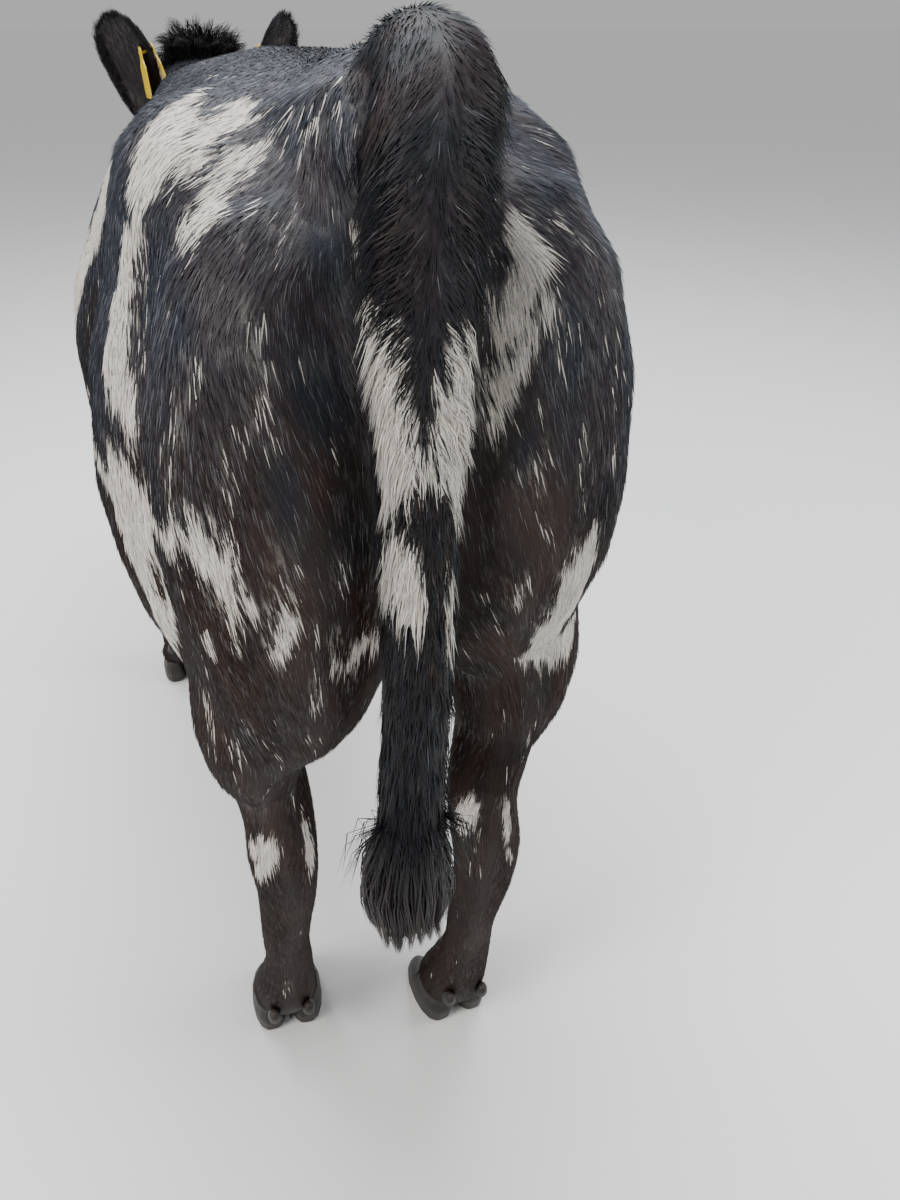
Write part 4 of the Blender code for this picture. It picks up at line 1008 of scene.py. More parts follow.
def coat_flow(points, normals):
    """The way the hair points, along the surface."""
    x, y, z = points.T
    side = np.sign(x - 0.01 + 1e-6)
    across, _, along = face_numbers(points)
    out = np.abs(x - 0.01)
    head = smooth(y, 1.50, 1.57) * smooth(along, -0.03, 0.03)
    rear = 1 - smooth(y, 0.10, 0.75)
    leg = 1 - smooth(z, 0.50, 0.72)
    top = smooth(normals[:, 2], 0.25, 0.75)
    way = np.zeros_like(points)
    way[:, 1] = -0.75 + 0.40 * rear
    way[:, 2] = -0.70 - 0.35 * rear
    way[:, 0] = side * top * (0.20 + 0.65 * rear) * smooth(out, 0.0, 0.08)
    down = np.array((0.0, -0.12, -1.0))
    way += (down - way) * leg[:, None]
    front = smooth(y, 1.16, 1.34)[:, None] * (1 - leg)[:, None]
    way += (np.array((0.0, -0.35, -1.0)) - way) * front * 0.8
    back = smooth(normals[:, 2], 0.45, 0.90) * smooth(y, 0.06, 0.25)
    way[:, 2] *= 1 - 0.9 * back
    way[:, 1] -= 0.9 * back
    off = off_tail_middle(points)
    spread = 0.30 + 0.95 * smooth(z, 0.92, 1.12)
    tail_way = np.zeros_like(points)
    tail_way[:, 0] = np.sign(off) * spread * smooth(np.abs(off), 0.0, 0.012)
    tail_way[:, 2] = -1.0
    top_of_tail = smooth(normals[:, 2], 0.30, 0.80)
    tail_way[:, 2] *= 1 - 0.9 * top_of_tail
    tail_way[:, 1] = -1.3 * top_of_tail
    way = np.where(on_tail(points)[:, None], tail_way, way)
    cheek = smooth(np.abs(across), 0.055, 0.085)[:, None]
    face = np.array(FACE_DOWN) * (1 - cheek) + np.array((0.0, 0.10, -1.0)) * cheek
    way += (face - way) * head[:, None]
    turn = (cloud(points, 0.11, 51) - 0.5)[:, None] * 0.60 + (cloud(points, 0.035, 52) - 0.5)[:, None] * 0.25
    sideways = np.cross(normals, way)
    way = way + sideways * turn
    way -= normals * np.sum(way * normals, 1, keepdims=True)
    return normalised(way)


def scatter(mesh, weight, count):
    """Roots spread evenly over a mesh: places, normals and the triangle of each."""
    mesh.calc_loop_triangles()
    corners = np.empty(len(mesh.loop_triangles) * 3, np.int32)
    mesh.loop_triangles.foreach_get("vertices", corners)
    corners = corners.reshape(-1, 3)
    co, normals = coordinates(mesh), point_normals(mesh)
    a, b, c = (co[corners[:, i]] for i in range(3))
    area = np.linalg.norm(np.cross(b - a, c - a), axis=1) / 2
    share = area * weight(place_from_tail((a + b + c) / 3), normals[corners].mean(1))
    total = np.cumsum(share)
    at = (np.arange(count) + rng.random(count)) / count * total[-1]
    chosen = np.minimum(np.searchsorted(total, at), len(area) - 1)
    u, v = rng.random(count), rng.random(count)
    flip = u + v > 1
    u, v = np.where(flip, 1 - u, u), np.where(flip, 1 - v, v)
    mix = np.stack([1 - u - v, u, v], 1)
    place = np.einsum("ij,ijk->ik", mix, co[corners[chosen]])
    normal = normalised(np.einsum("ij,ijk->ik", mix, normals[corners[chosen]]))
    return place, normal


class Unwrap:
    """The skin laid out flat by its own shape, which gives each root its patch for baking."""

    def __init__(self, skin, triangles=UNWRAP_TRIANGLES):
        coarse = link("coarse", skin.data.copy())
        coarse.data.calc_loop_triangles()
        thin = coarse.modifiers.new("Thin", "DECIMATE")
        thin.ratio = triangles / len(coarse.data.loop_triangles)
        apply_modifiers(coarse)
        bpy.ops.object.select_all(action="DESELECT")
        coarse.select_set(True)
        bpy.context.view_layer.objects.active = coarse
        bpy.ops.object.mode_set(mode="EDIT")
        bpy.ops.mesh.select_all(action="SELECT")
        bpy.ops.uv.smart_project(angle_limit=math.radians(66), island_margin=0.004)
        bpy.ops.object.mode_set(mode="OBJECT")
        mesh = coarse.data
        mesh.calc_loop_triangles()
        count = len(mesh.loop_triangles)
        verts, loops = np.empty(count * 3, np.int32), np.empty(count * 3, np.int32)
        mesh.loop_triangles.foreach_get("vertices", verts)
        mesh.loop_triangles.foreach_get("loops", loops)
        uv = np.empty(len(mesh.loops) * 2)
        mesh.uv_layers.active.data.foreach_get("uv", uv)
        co = coordinates(mesh)
        self.corners = co[verts.reshape(-1, 3)]
        self.flat = uv.reshape(-1, 2)[loops.reshape(-1, 3)]
        self.tree = BVHTree.FromPolygons(co.tolist(), verts.reshape(-1, 3).tolist())
        bpy.data.objects.remove(coarse)

    def at(self, places):
        """The flat place of each root."""
        index = np.array([self.tree.find_nearest(p)[2] for p in places.tolist()])
        a, b, c = (self.corners[index, i] for i in range(3))
        u, v, w = b - a, c - a, places - a
        uu, uv, vv = (u * u).sum(1), (u * v).sum(1), (v * v).sum(1)
        wu, wv = (w * u).sum(1), (w * v).sum(1)
        bottom = np.maximum(uu * vv - uv * uv, 1e-18)
        s = np.clip((vv * wu - uv * wv) / bottom, 0, 1)
        t = np.clip((uu * wv - uv * wu) / bottom, 0, 1)
        f = self.flat[index]
        return f[:, 0] * (1 - s - t)[:, None] + f[:, 1] * s[:, None] + f[:, 2] * t[:, None]


BAKE_PATCH = 0.003
# How deep the roots sit in the skin, how far along a hair its marking is read, and one turn of a wave
ROOT_DEPTH = 0.001
TUFT_ROOT_DEPTH = 0.0008
MARK_REACH = 0.004
WAVE_TURN = 6.28


def lay_out(mesh, flat, offsets, pattern):
    """Gives each hair its own small patch of the baking map."""
    corner_uv = (flat[:, None, None] + offsets[pattern][None]).astype(np.float32)
    layer = mesh.uv_layers.new(name="OFBake")
    layer.data.foreach_set("uv", corner_uv.ravel())


def tuft_mesh(name, root, normal, flow, length, width, lift, tint, flat):
    """Thin closed tufts: a wide root sunk in the skin, a raised ridge and one point."""
    count = len(root)
    side = np.cross(normal, flow)
    wide, high = (width / 2)[:, None], (width * 0.32)[:, None]
    long = length[:, None]
    verts = np.empty((count, 4, 3))
    sunk = root - normal * TUFT_ROOT_DEPTH
    verts[:, 0] = sunk - side * wide
    verts[:, 1] = sunk + side * wide
    verts[:, 2] = root + normal * high + flow * long * 0.12
    verts[:, 3] = root + flow * long + normal * (lift * length)[:, None]
    pattern = np.array([(0, 3, 2), (2, 3, 1), (0, 1, 3), (0, 2, 1)])
    faces = (np.arange(count) * 4)[:, None, None] + pattern[None]
    mesh = mesh_from_arrays(name, verts.reshape(-1, 3), faces.reshape(-1, 3))
    mesh.polygons.foreach_set("use_smooth", np.ones(count * 4, bool))
    shade = np.empty((count, 4, 3))
    shade[:, 0] = normal - side * 0.30
    shade[:, 1] = normal + side * 0.30
    shade[:, 2] = normal
    shade[:, 3] = normal + flow * 0.25
    mesh.normals_split_custom_set_from_vertices(normalised(shade.reshape(-1, 3)).tolist())
    set_colours(mesh, "tint", np.repeat(tint, 4, axis=0))
    offsets = np.array([(-0.5, -0.5), (0.5, -0.5), (0.0, -0.2), (0.0, 0.5)]) * BAKE_PATCH
    lay_out(mesh, flat, offsets, pattern)
    return link(name, mesh)


def coat_weight(places, normals):
    """Thicker set where the tufts are small, and none on bare skin."""
    foot = 1 - smooth(places[:, 2], 0.10, 0.40)
    rear = 1 - smooth(places[:, 1], 0.2, 0.8)
    weight = 1 + 1.2 * on_face(places) + 0.9 * foot + 0.55 * rear
    bare = np.maximum(nose_share(places), pink_share(places) * 0.93)
    for side in ("left", "right"):
        gap = np.linalg.norm(places - np.array(EYE[side] - TAIL_HEAD), axis=1)
        bare = np.maximum(bare, 1 - smooth(gap, EYE_RADIUS + 0.001, EYE_RADIUS + 0.004))
    return weight * (1 - bare) * smooth(places[:, 2], 0.050, 0.060)


def hair_colour(points, normals, flow, markings):
    """The colour of each tuft: dark, roan with a painted sheen of sky light on top, pale or white."""
    count = len(points)
    facing = markings.in_view(points, normals)
    colour = dark_coat(points, markings, facing)
    roan_and_sheen = roan_and_sheen_share(points)
    rear = 1 - smooth(points[:, 1], 0.35, 1.1)
    head = smooth(points[:, 1], 1.45, 1.58)
    leg = np.maximum(1 - smooth(points[:, 2], 0.50, 0.74), head)
    share = (0.022 + 0.110 * rear + 0.22 * roan_and_sheen) * (1 - leg) * np.where(on_tail(points), 0.3, 1.0)
    pale = rng.random(count) < share * (0.35 + 1.3 * cloud(points, 0.030, 61, (1, 1, 2.5)))
    strong = 0.15 + 0.60 * rng.random(count) ** 1.5
    colour = np.where(pale[:, None], toward(colour, PALE_HAIR, strong), colour)
    white = rng.random(count) < markings.white(points + flow * MARK_REACH, facing)
    colour = np.where(white[:, None], WHITE_HAIR[None], colour)
    colour = toward(colour, UDDER_HAIR, 0.9 * smooth(pink_share(points), 0.02, 0.5))
    clump = 0.80 + 0.40 * cloud(points, 0.011, 62, (1, 1, 2.2))
    tone = vary(count, 0.82, 0.36) * (clump + (1 - clump) * 0.6 * white)
    return colour * tone[:, None], pale & ~white


def build_coat(skin, markings, unwrap):
    """The short coat, in pieces that share its tufts out in turn."""
    root, normal = scatter(skin.data, coat_weight, COAT_TUFTS)
    points = place_from_tail(root)
    flow = coat_flow(points, normal)
    foot = 1 - smooth(points[:, 2], 0.10, 0.50)
    fine = np.clip(on_face(points) + foot, 0, 1)
    count = len(root)
    length = (0.0190 - 0.0090 * fine) * vary(count, 0.65, 0.70)
    width = (0.0015 - 0.0002 * fine) * vary(count, 0.65, 0.70)
    colour, pale = hair_colour(points, normal, flow, markings)
    width = np.where(pale, width * 0.60, width)
    coronet = (1 - smooth(points[:, 2], 0.070, 0.095)) * (points[:, 1] < 1.5)
    length = length * (1 + 0.5 * coronet)
    lift = np.clip(coat_depth(points) / length * vary(count, 0.20, 0.45), 0.03, 0.30)
    sway = (rng.random(count) - 0.5)[:, None] * 0.24
    flow = normalised(flow + np.cross(normal, flow) * sway)
    flat = unwrap.at(root)
    finish = hair_finish("coat_hair", 0.50)
    for k in range(COAT_PIECES):
        use = np.arange(k, count, COAT_PIECES)
        piece = tuft_mesh(f"coat_{k + 1}", root[use], normal[use], flow[use], length[use], width[use],
                          lift[use], colour[use], flat[use])
        dress(piece, finish, "coat")


# Long hair: closed strands that bend, gather in locks and run out to points

def grow(root, first, last, length, rings, curl=0.0, turns=1.0):
    """Hair paths that set out one way, end another, and may wave."""
    count = len(root)
    steps = (np.arange(rings) + 0.5) / rings
    ways = [normalised(first * (1 - t) + last * t) for t in steps]
    path = np.empty((count, rings + 1, 3))
    path[:, 0] = root
    for j, way in enumerate(ways):
        path[:, j + 1] = path[:, j] + way * (length / rings)[:, None]
    if curl:
        aside = normalised(np.cross(first, last + np.array((0.11, 0.05, 0.02))))
        phase = rng.random(count)[:, None] * WAVE_TURN
        t = np.linspace(0, 1, rings + 1)[None]
        swing = curl * (np.sin(phase + t * turns * WAVE_TURN) - np.sin(phase)) * t
        path += aside[:, None] * swing[:, :, None]
    return path


def gathered(path, guides, pull):
    """Draws each hair's tip towards the tip of the nearest of a few guide hairs."""
    pick = rng.choice(len(path), guides, replace=False)
    root = path[:, 0]
    nearest = np.empty(len(path), np.int64)
    for start in range(0, len(path), 2000):
        gap = ((root[start:start + 2000, None] - root[pick][None]) ** 2).sum(2)
        nearest[start:start + 2000] = pick[gap.argmin(1)]
    t = np.linspace(0, 1, path.shape[1]) ** 1.4
    return path + (path[nearest] - path) * (pull * t)[None, :, None]


def strand_mesh(name, path, normal, width, tint, flat, tip_tint=None):
    """Closed three-sided hairs along paths, each drawn out to one point."""
    count, rings = path.shape[0], path.shape[1] - 1
    tangent = normalised((path[:, 1:] - path[:, :-1]).reshape(-1, 3)).reshape(count, rings, 3)
    side = normalised(np.cross(tangent, normal[:, None]).reshape(-1, 3)).reshape(count, rings, 3)
    up = np.cross(side, tangent) * -1
    taper = 1 - (np.arange(rings) / rings) ** 1.8
    wide = (width[:, None] * taper[None])[..., None]
    verts = np.empty((count, rings * 3 + 1, 3))
    verts[:, 0:rings * 3:3] = path[:, :-1] - side * wide * 0.5 - up * wide * 0.15
    verts[:, 1:rings * 3:3] = path[:, :-1] + side * wide * 0.5 - up * wide * 0.15
    verts[:, 2:rings * 3:3] = path[:, :-1] + up * wide * 0.30
    verts[:, -1] = path[:, -1]
    pattern = [(2, 1, 0)]
    for r in range(rings - 1):
        for i in range(3):
            a, b = r * 3 + i, r * 3 + (i + 1) % 3
            pattern += [(a, b, b + 3), (a, b + 3, a + 3)]
    last = (rings - 1) * 3
    pattern += [(last + i, last + (i + 1) % 3, rings * 3) for i in range(3)]
    pattern = np.array(pattern)
    faces = (np.arange(count) * (rings * 3 + 1))[:, None, None] + pattern[None]
    mesh = mesh_from_arrays(name, verts.reshape(-1, 3), faces.reshape(-1, 3))
    mesh.polygons.foreach_set("use_smooth", np.ones(len(mesh.polygons), bool))
    share = np.append(np.repeat(np.arange(rings) / rings, 3), 1.0)
    tip = tint if tip_tint is None else tip_tint
    colours = tint[:, None] + (tip - tint)[:, None] * share[None, :, None]
    set_colours(mesh, "tint", colours.reshape(-1, 3))
    spread = np.append(np.repeat(np.arange(rings) / rings - 0.5, 3), 0.5)
    offsets = np.stack([np.append(np.tile((-0.4, 0.4, 0.0), rings), 0.0), spread], 1) * BAKE_PATCH
    lay_out(mesh, flat, offsets, pattern)
    return link(name, mesh)


def dock_weight(places, normals):
    """Only the tail, and there not on its hidden front."""
    return on_tail(places) * smooth(places[:, 2], 0.60, 0.62) * (1 - smooth(places[:, 1], -0.02, 0.03)) + 1e-9


def build_tail_hair(skin, markings, unwrap):
    """Hair that falls to both sides from the middle of the tail."""
    for k in range(TAIL_PIECES):
        root, normal = scatter(skin.data, dock_weight, TAIL_HAIRS)
        points = place_from_tail(root)
        flow = coat_flow(points, normal)
        count = len(root)
        off = off_tail_middle(points)
        low = 1 - smooth(points[:, 2], 0.66, 0.95)
        high = smooth(points[:, 2], 1.02, 1.16)
        side = smooth(np.abs(off), 0.006, 0.030)
        end = 1 - smooth(points[:, 2], 0.625, 0.735)
        length = 0.032 + 0.012 * side + 0.020 * low - 0.006 * high + 0.042 * end
        length = length * vary(count, 0.65, 0.7)
        down = np.array((0.0, 0.0, -1.0))
        lift = vary(count, 0.03, 0.15) * (1 - 0.45 * high)
        first = normalised(flow + normal * lift[:, None])
        drift = np.zeros((count, 3))
        drift[:, 0] = np.sign(off) * 0.12 * side
        last = normalised(down * (1 - 0.45 * high)[:, None] + flow * (0.55 * high)[:, None] + drift
                          + stray(count, 0.30))
        path = grow(root - normal * ROOT_DEPTH, first, last, length, 2, 0.0026, 0.8)
        path = gathered(path, count // 12, 0.62)
        facing = markings.in_view(points, normal)
        white = rng.random(count) < markings.white(points + flow * MARK_REACH, facing)
        colour = np.where(white[:, None], WHITE_HAIR[None], DARK[None] * 0.80)
        colour = colour * vary(count, 0.70, 0.55)[:, None]
        pale = (rng.random(count) < 0.015 + 0.02 * high)[:, None] & ~white[:, None]
        colour = np.where(pale, PALE_HAIR * 0.40, colour)
        width = 0.00135 * vary(count, 0.6, 0.7)
        piece = strand_mesh(f"tail_hair_{k + 1}", path, normal, width, colour, unwrap.at(root))
        dress(piece, hair_finish(f"tail_hair_{k + 1}", 0.48), "tail_hair")


def build_switch(unwrap):
    """The tail's brush: full locks that swell below the dock and end in brown tips."""
    low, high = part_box("tail_switch")
    top = TAIL_HEAD + DOCK_END
    count = SWITCH_HAIRS
    angle = rng.random(count) * 2 * math.pi
    part = np.sqrt(rng.random(count))
    middle_x, middle_y = (low.x + high.x) / 2, (low.y + high.y) / 2
    ring = np.stack([np.cos(angle), np.sin(angle)], 1) * part[:, None]
    start_height = 0.060 * rng.random(count)
    root = np.empty((count, 3))
    root[:, 0] = top.x + ring[:, 0] * 0.026
    root[:, 1] = top.y + ring[:, 1] * 0.022
    root[:, 2] = top.z + 0.015 - start_height
    drop = root[:, 2] - low.z
    length = drop * (0.72 + 0.24 * rng.random(count) ** 0.7) * (1 - 0.10 * part)
    half_x, half_y = (high.x - low.x) / 2, (high.y - low.y) / 2
    rings = 6
    t = np.linspace(0, 1, rings + 1)[None]
    swell = 0.30 + 0.70 * smooth(t, 0.0, 0.55) - 0.22 * smooth(t, 0.70, 1.0)
    path = np.empty((count, rings + 1, 3))
    swell = swell * smooth(t, 0, 0.5)
    path[..., 0] = root[:, :1] + (middle_x + ring[:, :1] * half_x * 0.98 - root[:, :1]) * swell
    path[..., 1] = root[:, 1:2] + (middle_y + ring[:, 1:] * half_y * 0.95 - root[:, 1:2]) * swell
    path[..., 2] = root[:, 2:] - length[:, None] * t
    phase = rng.random((count, 2)) * WAVE_TURN
    for i in range(2):
        start = phase[:, i:i + 1]
        wave = np.sin(start + t * (5.5 + 2.5 * rng.random((count, 1)))) - np.sin(start)
        path[..., i] += wave * 0.0055 * t
    path = gathered(path, count // 26, 0.78)
    normal = np.stack([ring[:, 0], ring[:, 1] - 0.35, np.zeros(count)], 1)
    normal = normalised(normal + 1e-4)
    colour = shades(DARK, count, 0.65, 0.7)
    tip = toward(colour, TIP_BROWN, vary(count, 0.25, 0.75))
    width = 0.0023 * vary(count, 0.55, 0.8)
    piece = strand_mesh("switch_hair", path, normal, width, colour, unwrap.at(root), tip)
    dress(piece, hair_finish("switch_hair", 0.44), "tail_hair", "tail_switch")


def poll_weight(places, normals):
    """Only the top of the head between the ears."""
    across, above, along = face_numbers(places)
    crown = smooth(above, -0.050, -0.030) * (1 - smooth(along, 0.055, 0.085)) * smooth(along, -0.075, -0.045)
    return crown * (1 - smooth(np.abs(across), 0.060, 0.082)) * (places[:, 1] > 1.46) + 1e-9


def build_poll(skin, unwrap):
    """The shaggy tuft between the ears."""
    root, normal = scatter(skin.data, poll_weight, POLL_HAIRS)
    across, _, along = face_numbers(place_from_tail(root))
    count = len(root)
    out = np.zeros((count, 3))
    out[:, 0] = np.sign(across) * smooth(np.abs(across), 0.0, 0.06)
    face_down = np.array(FACE_DOWN)
    forward = smooth(along, -0.03, 0.03)[:, None]
    first = normalised(normal * 0.9 + out * 0.35 + face_down * (forward - 0.35) * 0.9)
    last = normalised(face_down * (forward * 1.5 - 0.5) + out * 0.65 + np.array((0, 0, -0.25)) + normal * 0.15
                      + stray(count, 0.5))
    length = 0.043 * vary(count, 0.60, 0.75) * (1 - 0.35 * smooth(np.abs(across), 0.03, 0.08))
    path = grow(root - normal * ROOT_DEPTH, first, last, length, 4, 0.008, 1.3)
    path = gathered(path, count // 22, 0.66)
    colour = shades(DARK, count, 0.7, 0.6)
    tip = toward(colour, TIP_BROWN, 0.55 * rng.random(count))
    width = 0.0014 * vary(count, 0.6, 0.7)
    piece = strand_mesh("poll_hair", path, normal, width, colour, unwrap.at(root), tip)
    dress(piece, hair_finish("poll_hair", 0.46), "coat")


def whisker_weight(places, normals):
    """Only the lips and the chin."""
    _, above, along = face_numbers(places)
    lips = smooth(along, 0.340, 0.400) * smooth(-above, 0.100, 0.125) * (1 - nose_share(places))
    return lips * (places[:, 1] > 1.5) + 1e-9


def build_whiskers(skin, unwrap):
    """Sparse stiff hairs round the lips and on the chin."""
    root, normal = scatter(skin.data, whisker_weight, WHISKERS)
    count = len(root)
    sway = stray(count, 0.5)
    first = normalised(normal + np.array(FACE_DOWN) * 0.3 + sway)
    last = normalised(normal * 0.5 + np.array((0, 0, -0.9)) + sway)
    length = 0.020 * vary(count, 0.5, 0.9)
    path = grow(root - normal * ROOT_DEPTH, first, last, length, 3)
    tint = shades(DARK, count, 0.5, 1.0)
    piece = strand_mesh("whiskers", path, normal, np.full(count, 0.0006), tint, unwrap.at(root))
    dress(piece, hair_finish("whiskers", 0.4), "coat")


# Ears

def ear_axes(side):
    """An ear's root, the way it points, the way its cup opens, and the way across."""
    sign = SIGN[side]
    root = face_place(sign * 0.115, -0.127, 0.030)
    outward = Vector((sign * 0.26, -0.08, 0.96)).normalized()
    turn = EAR_TURN[side]
    opening = Vector((sign * math.sin(turn), -math.cos(turn), 0))
    opening = (opening - outward * opening.dot(outward)).normalized()
    return [np.array(v) for v in (root, outward, opening, outward.cross(opening))]


def ear_half_width(share):
    """Half the ear's width at a share of its length."""
    return np.interp(share, (0, 0.3, 0.62, 0.85, 1.0), (0.022, 0.046, 0.056, 0.046, 0.020))


def build_ear(side):
    """The cupped ear: short coat outside, bare dark skin inside, long soft hair along its edges."""
    root, outward, opening, aside = ear_axes(side)
    ear = merged_copy("ear_hide_" + side, ["ear_" + side])
    fuse(ear, EAR_VOXEL)
    soften(ear, 14)
    apply_modifiers(ear)
    mesh = ear.data
    co, normals = coordinates(mesh), point_normals(mesh)
    rel = co - root
    up_share = (rel @ outward) / EAR_LENGTH
    inside = smooth(normals @ opening, 0.10, 0.45)
    edge = np.clip(np.abs(rel @ aside) / ear_half_width(up_share), 0, 1)
    ridge = np.sin((rel @ aside) * 520) * inside * (1 - smooth(edge, 0.5, 0.85)) * smooth(up_share, 0.12, 0.3)
    ridge = ridge * (1 - smooth(up_share, 0.55, 0.8))
    set_coordinates(mesh, co + normals * (ridge * 0.0009)[:, None])
    skin = EAR_SKIN * (0.8 + 0.4 * cloud(co, 0.012, 71))[:, None]
    set_colours(mesh, "tint", toward(DARK, skin, inside * (1 - 0.6 * smooth(edge, 0.6, 0.95))))
    set_values(mesh, "bare", inside * 0.5)
    mesh.shade_smooth()
    dress(ear, skin_finish("ear_skin_" + side), "coat", "ear_" + side)
    unwrap = Unwrap(ear, EAR_UNWRAP_TRIANGLES)

    def placed(count, weight):
        """Roots on the ear, with their share of its length and their place across it."""
        spot, normal = scatter(mesh, weight, count)
        place = spot - root
        return spot, normal, (place @ outward) / EAR_LENGTH, place @ aside

    def is_inside(normal):
        return smooth(normal @ opening, 0.15, 0.45)

    def rim(places):
        place = places + np.array(TAIL_HEAD) - root
        share = (place @ outward) / EAR_LENGTH
        near = np.abs(place @ aside) / ear_half_width(share)
        return np.maximum(smooth(near, 0.60, 0.85), smooth(share, 0.88, 0.97))

    def edging(places, normal):
        return rim(places) * (0.25 + 0.75 * is_inside(normal)) + 1e-9

    spot, normal, _, off = placed(EAR_TUFTS, lambda places, normal: 1.0 - 0.86 * is_inside(normal))
    count = len(spot)
    flow = outward + aside * (off * 4.0)[:, None] + stray(count, 0.35)
    flow = normalised(flow - normal * np.sum(flow * normal, 1, keepdims=True))
    colour = shades(DARK, count, 0.65, 0.75)
    colour = np.where((rng.random(count) < 0.03)[:, None], PALE_HAIR * 0.35, colour)
    length = 0.0125 * vary(count, 0.7, 0.6)
    width = 0.0017 * vary(count, 0.6, 0.8)
    lift = vary(count, 0.10, 0.12)
    piece = tuft_mesh("ear_coat_" + side, spot, normal, flow, length, width, lift, colour, unwrap.at(spot))
    dress(piece, hair_finish("ear_hair_" + side, 0.5), "coat")
    spot, normal, share, off = placed(EAR_FRINGE, edging)
    count = len(spot)
    sway = stray(count, 0.5)
    first = normalised(outward * 0.8 + aside * np.sign(off)[:, None] * 0.25 + opening * 0.55 + sway * 0.5)
    last = normalised(outward * 0.9 - aside * np.sign(off)[:, None] * 0.35 + opening * 0.15 + sway)
    length = 0.022 * vary(count, 0.6, 0.8) * (1 - 0.35 * smooth(share, 0.7, 1.0))
    path = grow(spot - normal * TUFT_ROOT_DEPTH, first, last, length, 3, 0.0015, 0.8)
    colour = shades(DARK, count, 0.9, 0.9)
    tip = toward(colour, TIP_BROWN, np.full(count, 0.5))
    width = np.full(count, 0.0010)
    piece = strand_mesh("ear_fringe_" + side, path, normal, width, colour, unwrap.at(spot), tip)
    dress(piece, hair_finish("ear_fringe_" + side, 0.45), "coat")


# Claws and tags

def build_claw(node):
    """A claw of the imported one's shape with worn horn."""
    claw = merged_copy("horn_" + node, [node])
    main_claw = node.startswith("claw")
    fuse(claw, CLAW_VOXEL if main_claw else DEWCLAW_VOXEL)
    soften(claw, 9 if main_claw else 34)
    apply_modifiers(claw)
    mesh = claw.data
    co, normals = coordinates(mesh), point_normals(mesh)
    low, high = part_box(node)
    level = (co[:, 2] - low.z) / (high.z - low.z)
    side = 1 - smooth(np.abs(normals[:, 2]), 0.5, 0.9)
    grain = cloud(co, 0.016, 81)
    ring = np.sin(co[:, 2] * 1050 + grain * 7 + co[:, 1] * 160)
    ring = ring * (0.00022 if main_claw else 0.00005)
    drawn_in = 1 - 0.13 * smooth(level, 0.45, 1.0) * main_claw
    centre = np.array(((low.x + high.x) / 2, (low.y + high.y) / 2))
    shaped = co.copy()
    shaped[:, :2] = centre + (co[:, :2] - centre) * drawn_in[:, None]
    set_coordinates(mesh, shaped + normals * (ring * side * smooth(level, 0.04, 0.15))[:, None])
    colour = HORN * (0.65 + 0.9 * cloud(co, 0.012, 82, (1, 1, 0.25)))[:, None]
    wear = (1 - smooth(level, 0.02, 0.22)) * 0.55 * cloud(co, 0.006, 83)
    colour = toward(toward(colour, WORN_HORN, wear), SOFT_HORN, smooth(level, 0.80, 0.97) * 0.6)
    set_colours(mesh, "tint", colour)
    mesh.shade_smooth()
    finish = Finish("horn_" + node, 0.42, Specular_IOR_Level=0.4)
    finish.feed("Base Color", finish.attribute("tint"))
    grain = finish.noise(finish.here((1, 1, 5)), 160, 4.0)
    finish.feed("Roughness", 0.36 + grain * 0.28)
    finish.bump(grain, 0.5, 0.0009)
    dress(claw, finish, "horn", node)


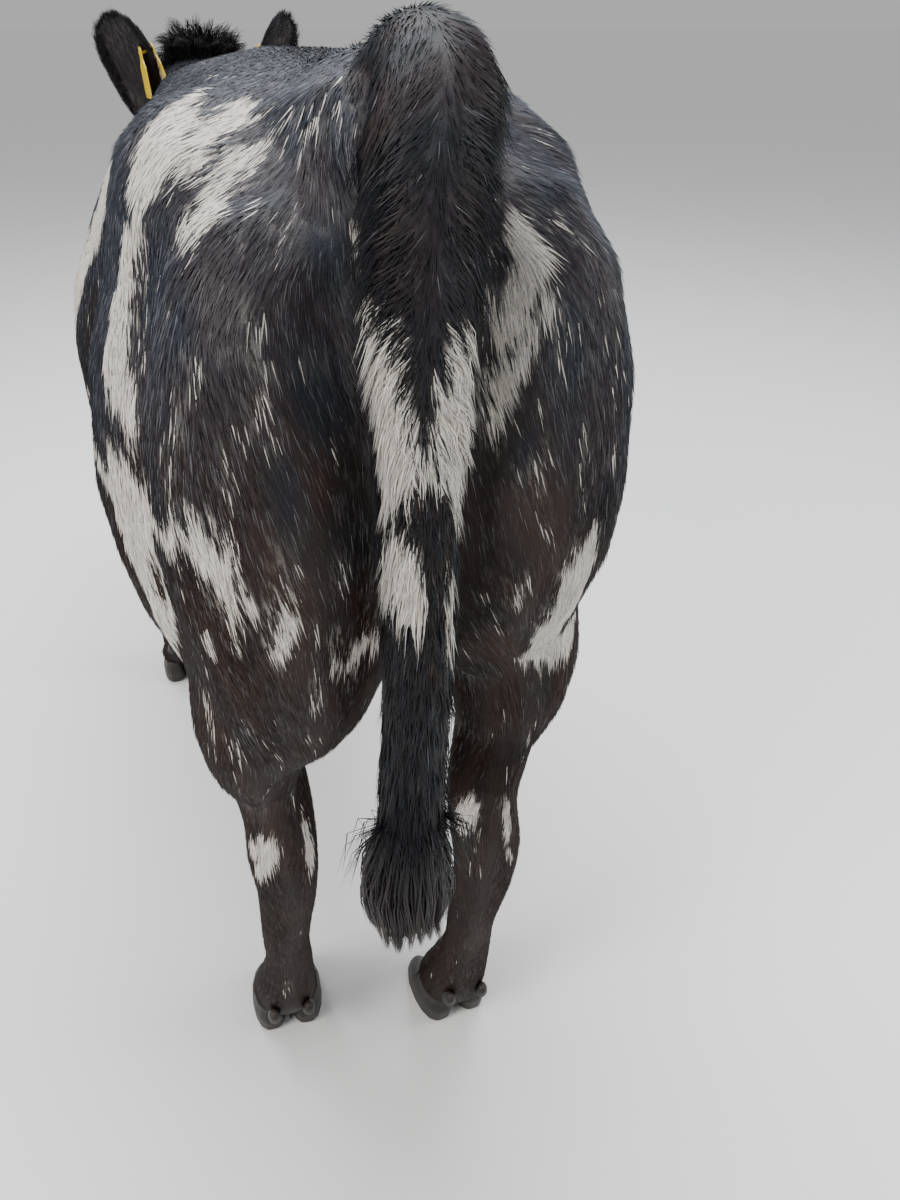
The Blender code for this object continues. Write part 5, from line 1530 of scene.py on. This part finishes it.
def dress_tag(node):
    """Moulded plastic, worn and a little dirty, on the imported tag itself."""
    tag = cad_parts[node]
    soft = tag.modifiers.new("Soft", "BEVEL")
    soft.width = 0.0004
    soft.segments = 2
    finish = Finish("plastic_" + node, 0.38, Specular_IOR_Level=0.45, Subsurface_Weight=0.1)
    where = finish.here()
    dirt = finish.noise(where, 95, 5.0, 0.65).clip(0.52, 0.78)
    shade = finish.noise(where, 30, 2.0)
    yellow = finish.mixed(shade.clip(0.3, 0.7), (0.80, 0.50, 0.022), (0.88, 0.60, 0.040))
    finish.feed("Base Color", finish.mixed(dirt * 0.45, yellow, (0.28, 0.17, 0.05)))
    finish.feed("Roughness", 0.34 + dirt * 0.30)
    finish.bump(finish.noise(where, 1400, 2.0), 0.18, 0.0004)
    tag.data.materials.clear()
    tag.data.materials.append(finish.material)


def hair_finish(name, roughness):
    """A hair's own colour with a low sheen."""
    finish = Finish(name, roughness, Specular_IOR_Level=0.24)
    finish.feed("Base Color", finish.attribute("tint"))
    return finish


def skin_finish(name):
    """The hide: fine grain, smoother where bare, and pebbled where wet."""
    finish = Finish(name, 0.55, Specular_IOR_Level=0.35)
    grain = finish.noise(finish.here((1, 1, 0.35)), 900, 3.0)
    colour = finish.mixed(grain.clip(0.35, 0.65), (0.55, 0.55, 0.55), (1.0, 1.0, 1.0))
    finish.feed("Base Color", finish.mixed(1.0, finish.attribute("tint"), colour, "MULTIPLY"))
    bare = finish.attribute("bare", number=True)
    finish.feed("Roughness", 0.58 - bare * 0.22)
    pads = finish.node("ShaderNodeTexVoronoi", {"feature": "SMOOTH_F1"}, finish.here(), None, 330.0)
    finish.bump(grain * 0.3 - pads * finish.attribute("wet", number=True), 0.55, 0.0022)
    return finish


def main():
    """Builds the picture."""
    add_camera()
    add_studio()
    skin = build_skin()
    markings = Markings(skin)
    unwrap = Unwrap(skin)
    co, normals = place_from_tail(coordinates(skin.data)), point_normals(skin.data)
    set_colours(skin.data, "tint", skin_colour(co, normals, markings))
    set_values(skin.data, "bare", np.maximum(nose_share(co), pink_share(co)))
    set_values(skin.data, "wet", nose_share(co))
    skin.data.shade_smooth()
    dress(skin, skin_finish("hide"), "coat", *FLESH)
    build_coat(skin, markings, unwrap)
    build_tail_hair(skin, markings, unwrap)
    build_switch(unwrap)
    build_poll(skin, unwrap)
    build_whiskers(skin, unwrap)
    for side in ("left", "right"):
        build_eye(side)
        add_lashes(side, unwrap)
        build_ear(side)
    for node in [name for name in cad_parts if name.startswith(("claw", "dewclaw"))]:
        build_claw(node)
    for node in [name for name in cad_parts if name.startswith("tag")]:
        dress_tag(node)


main()
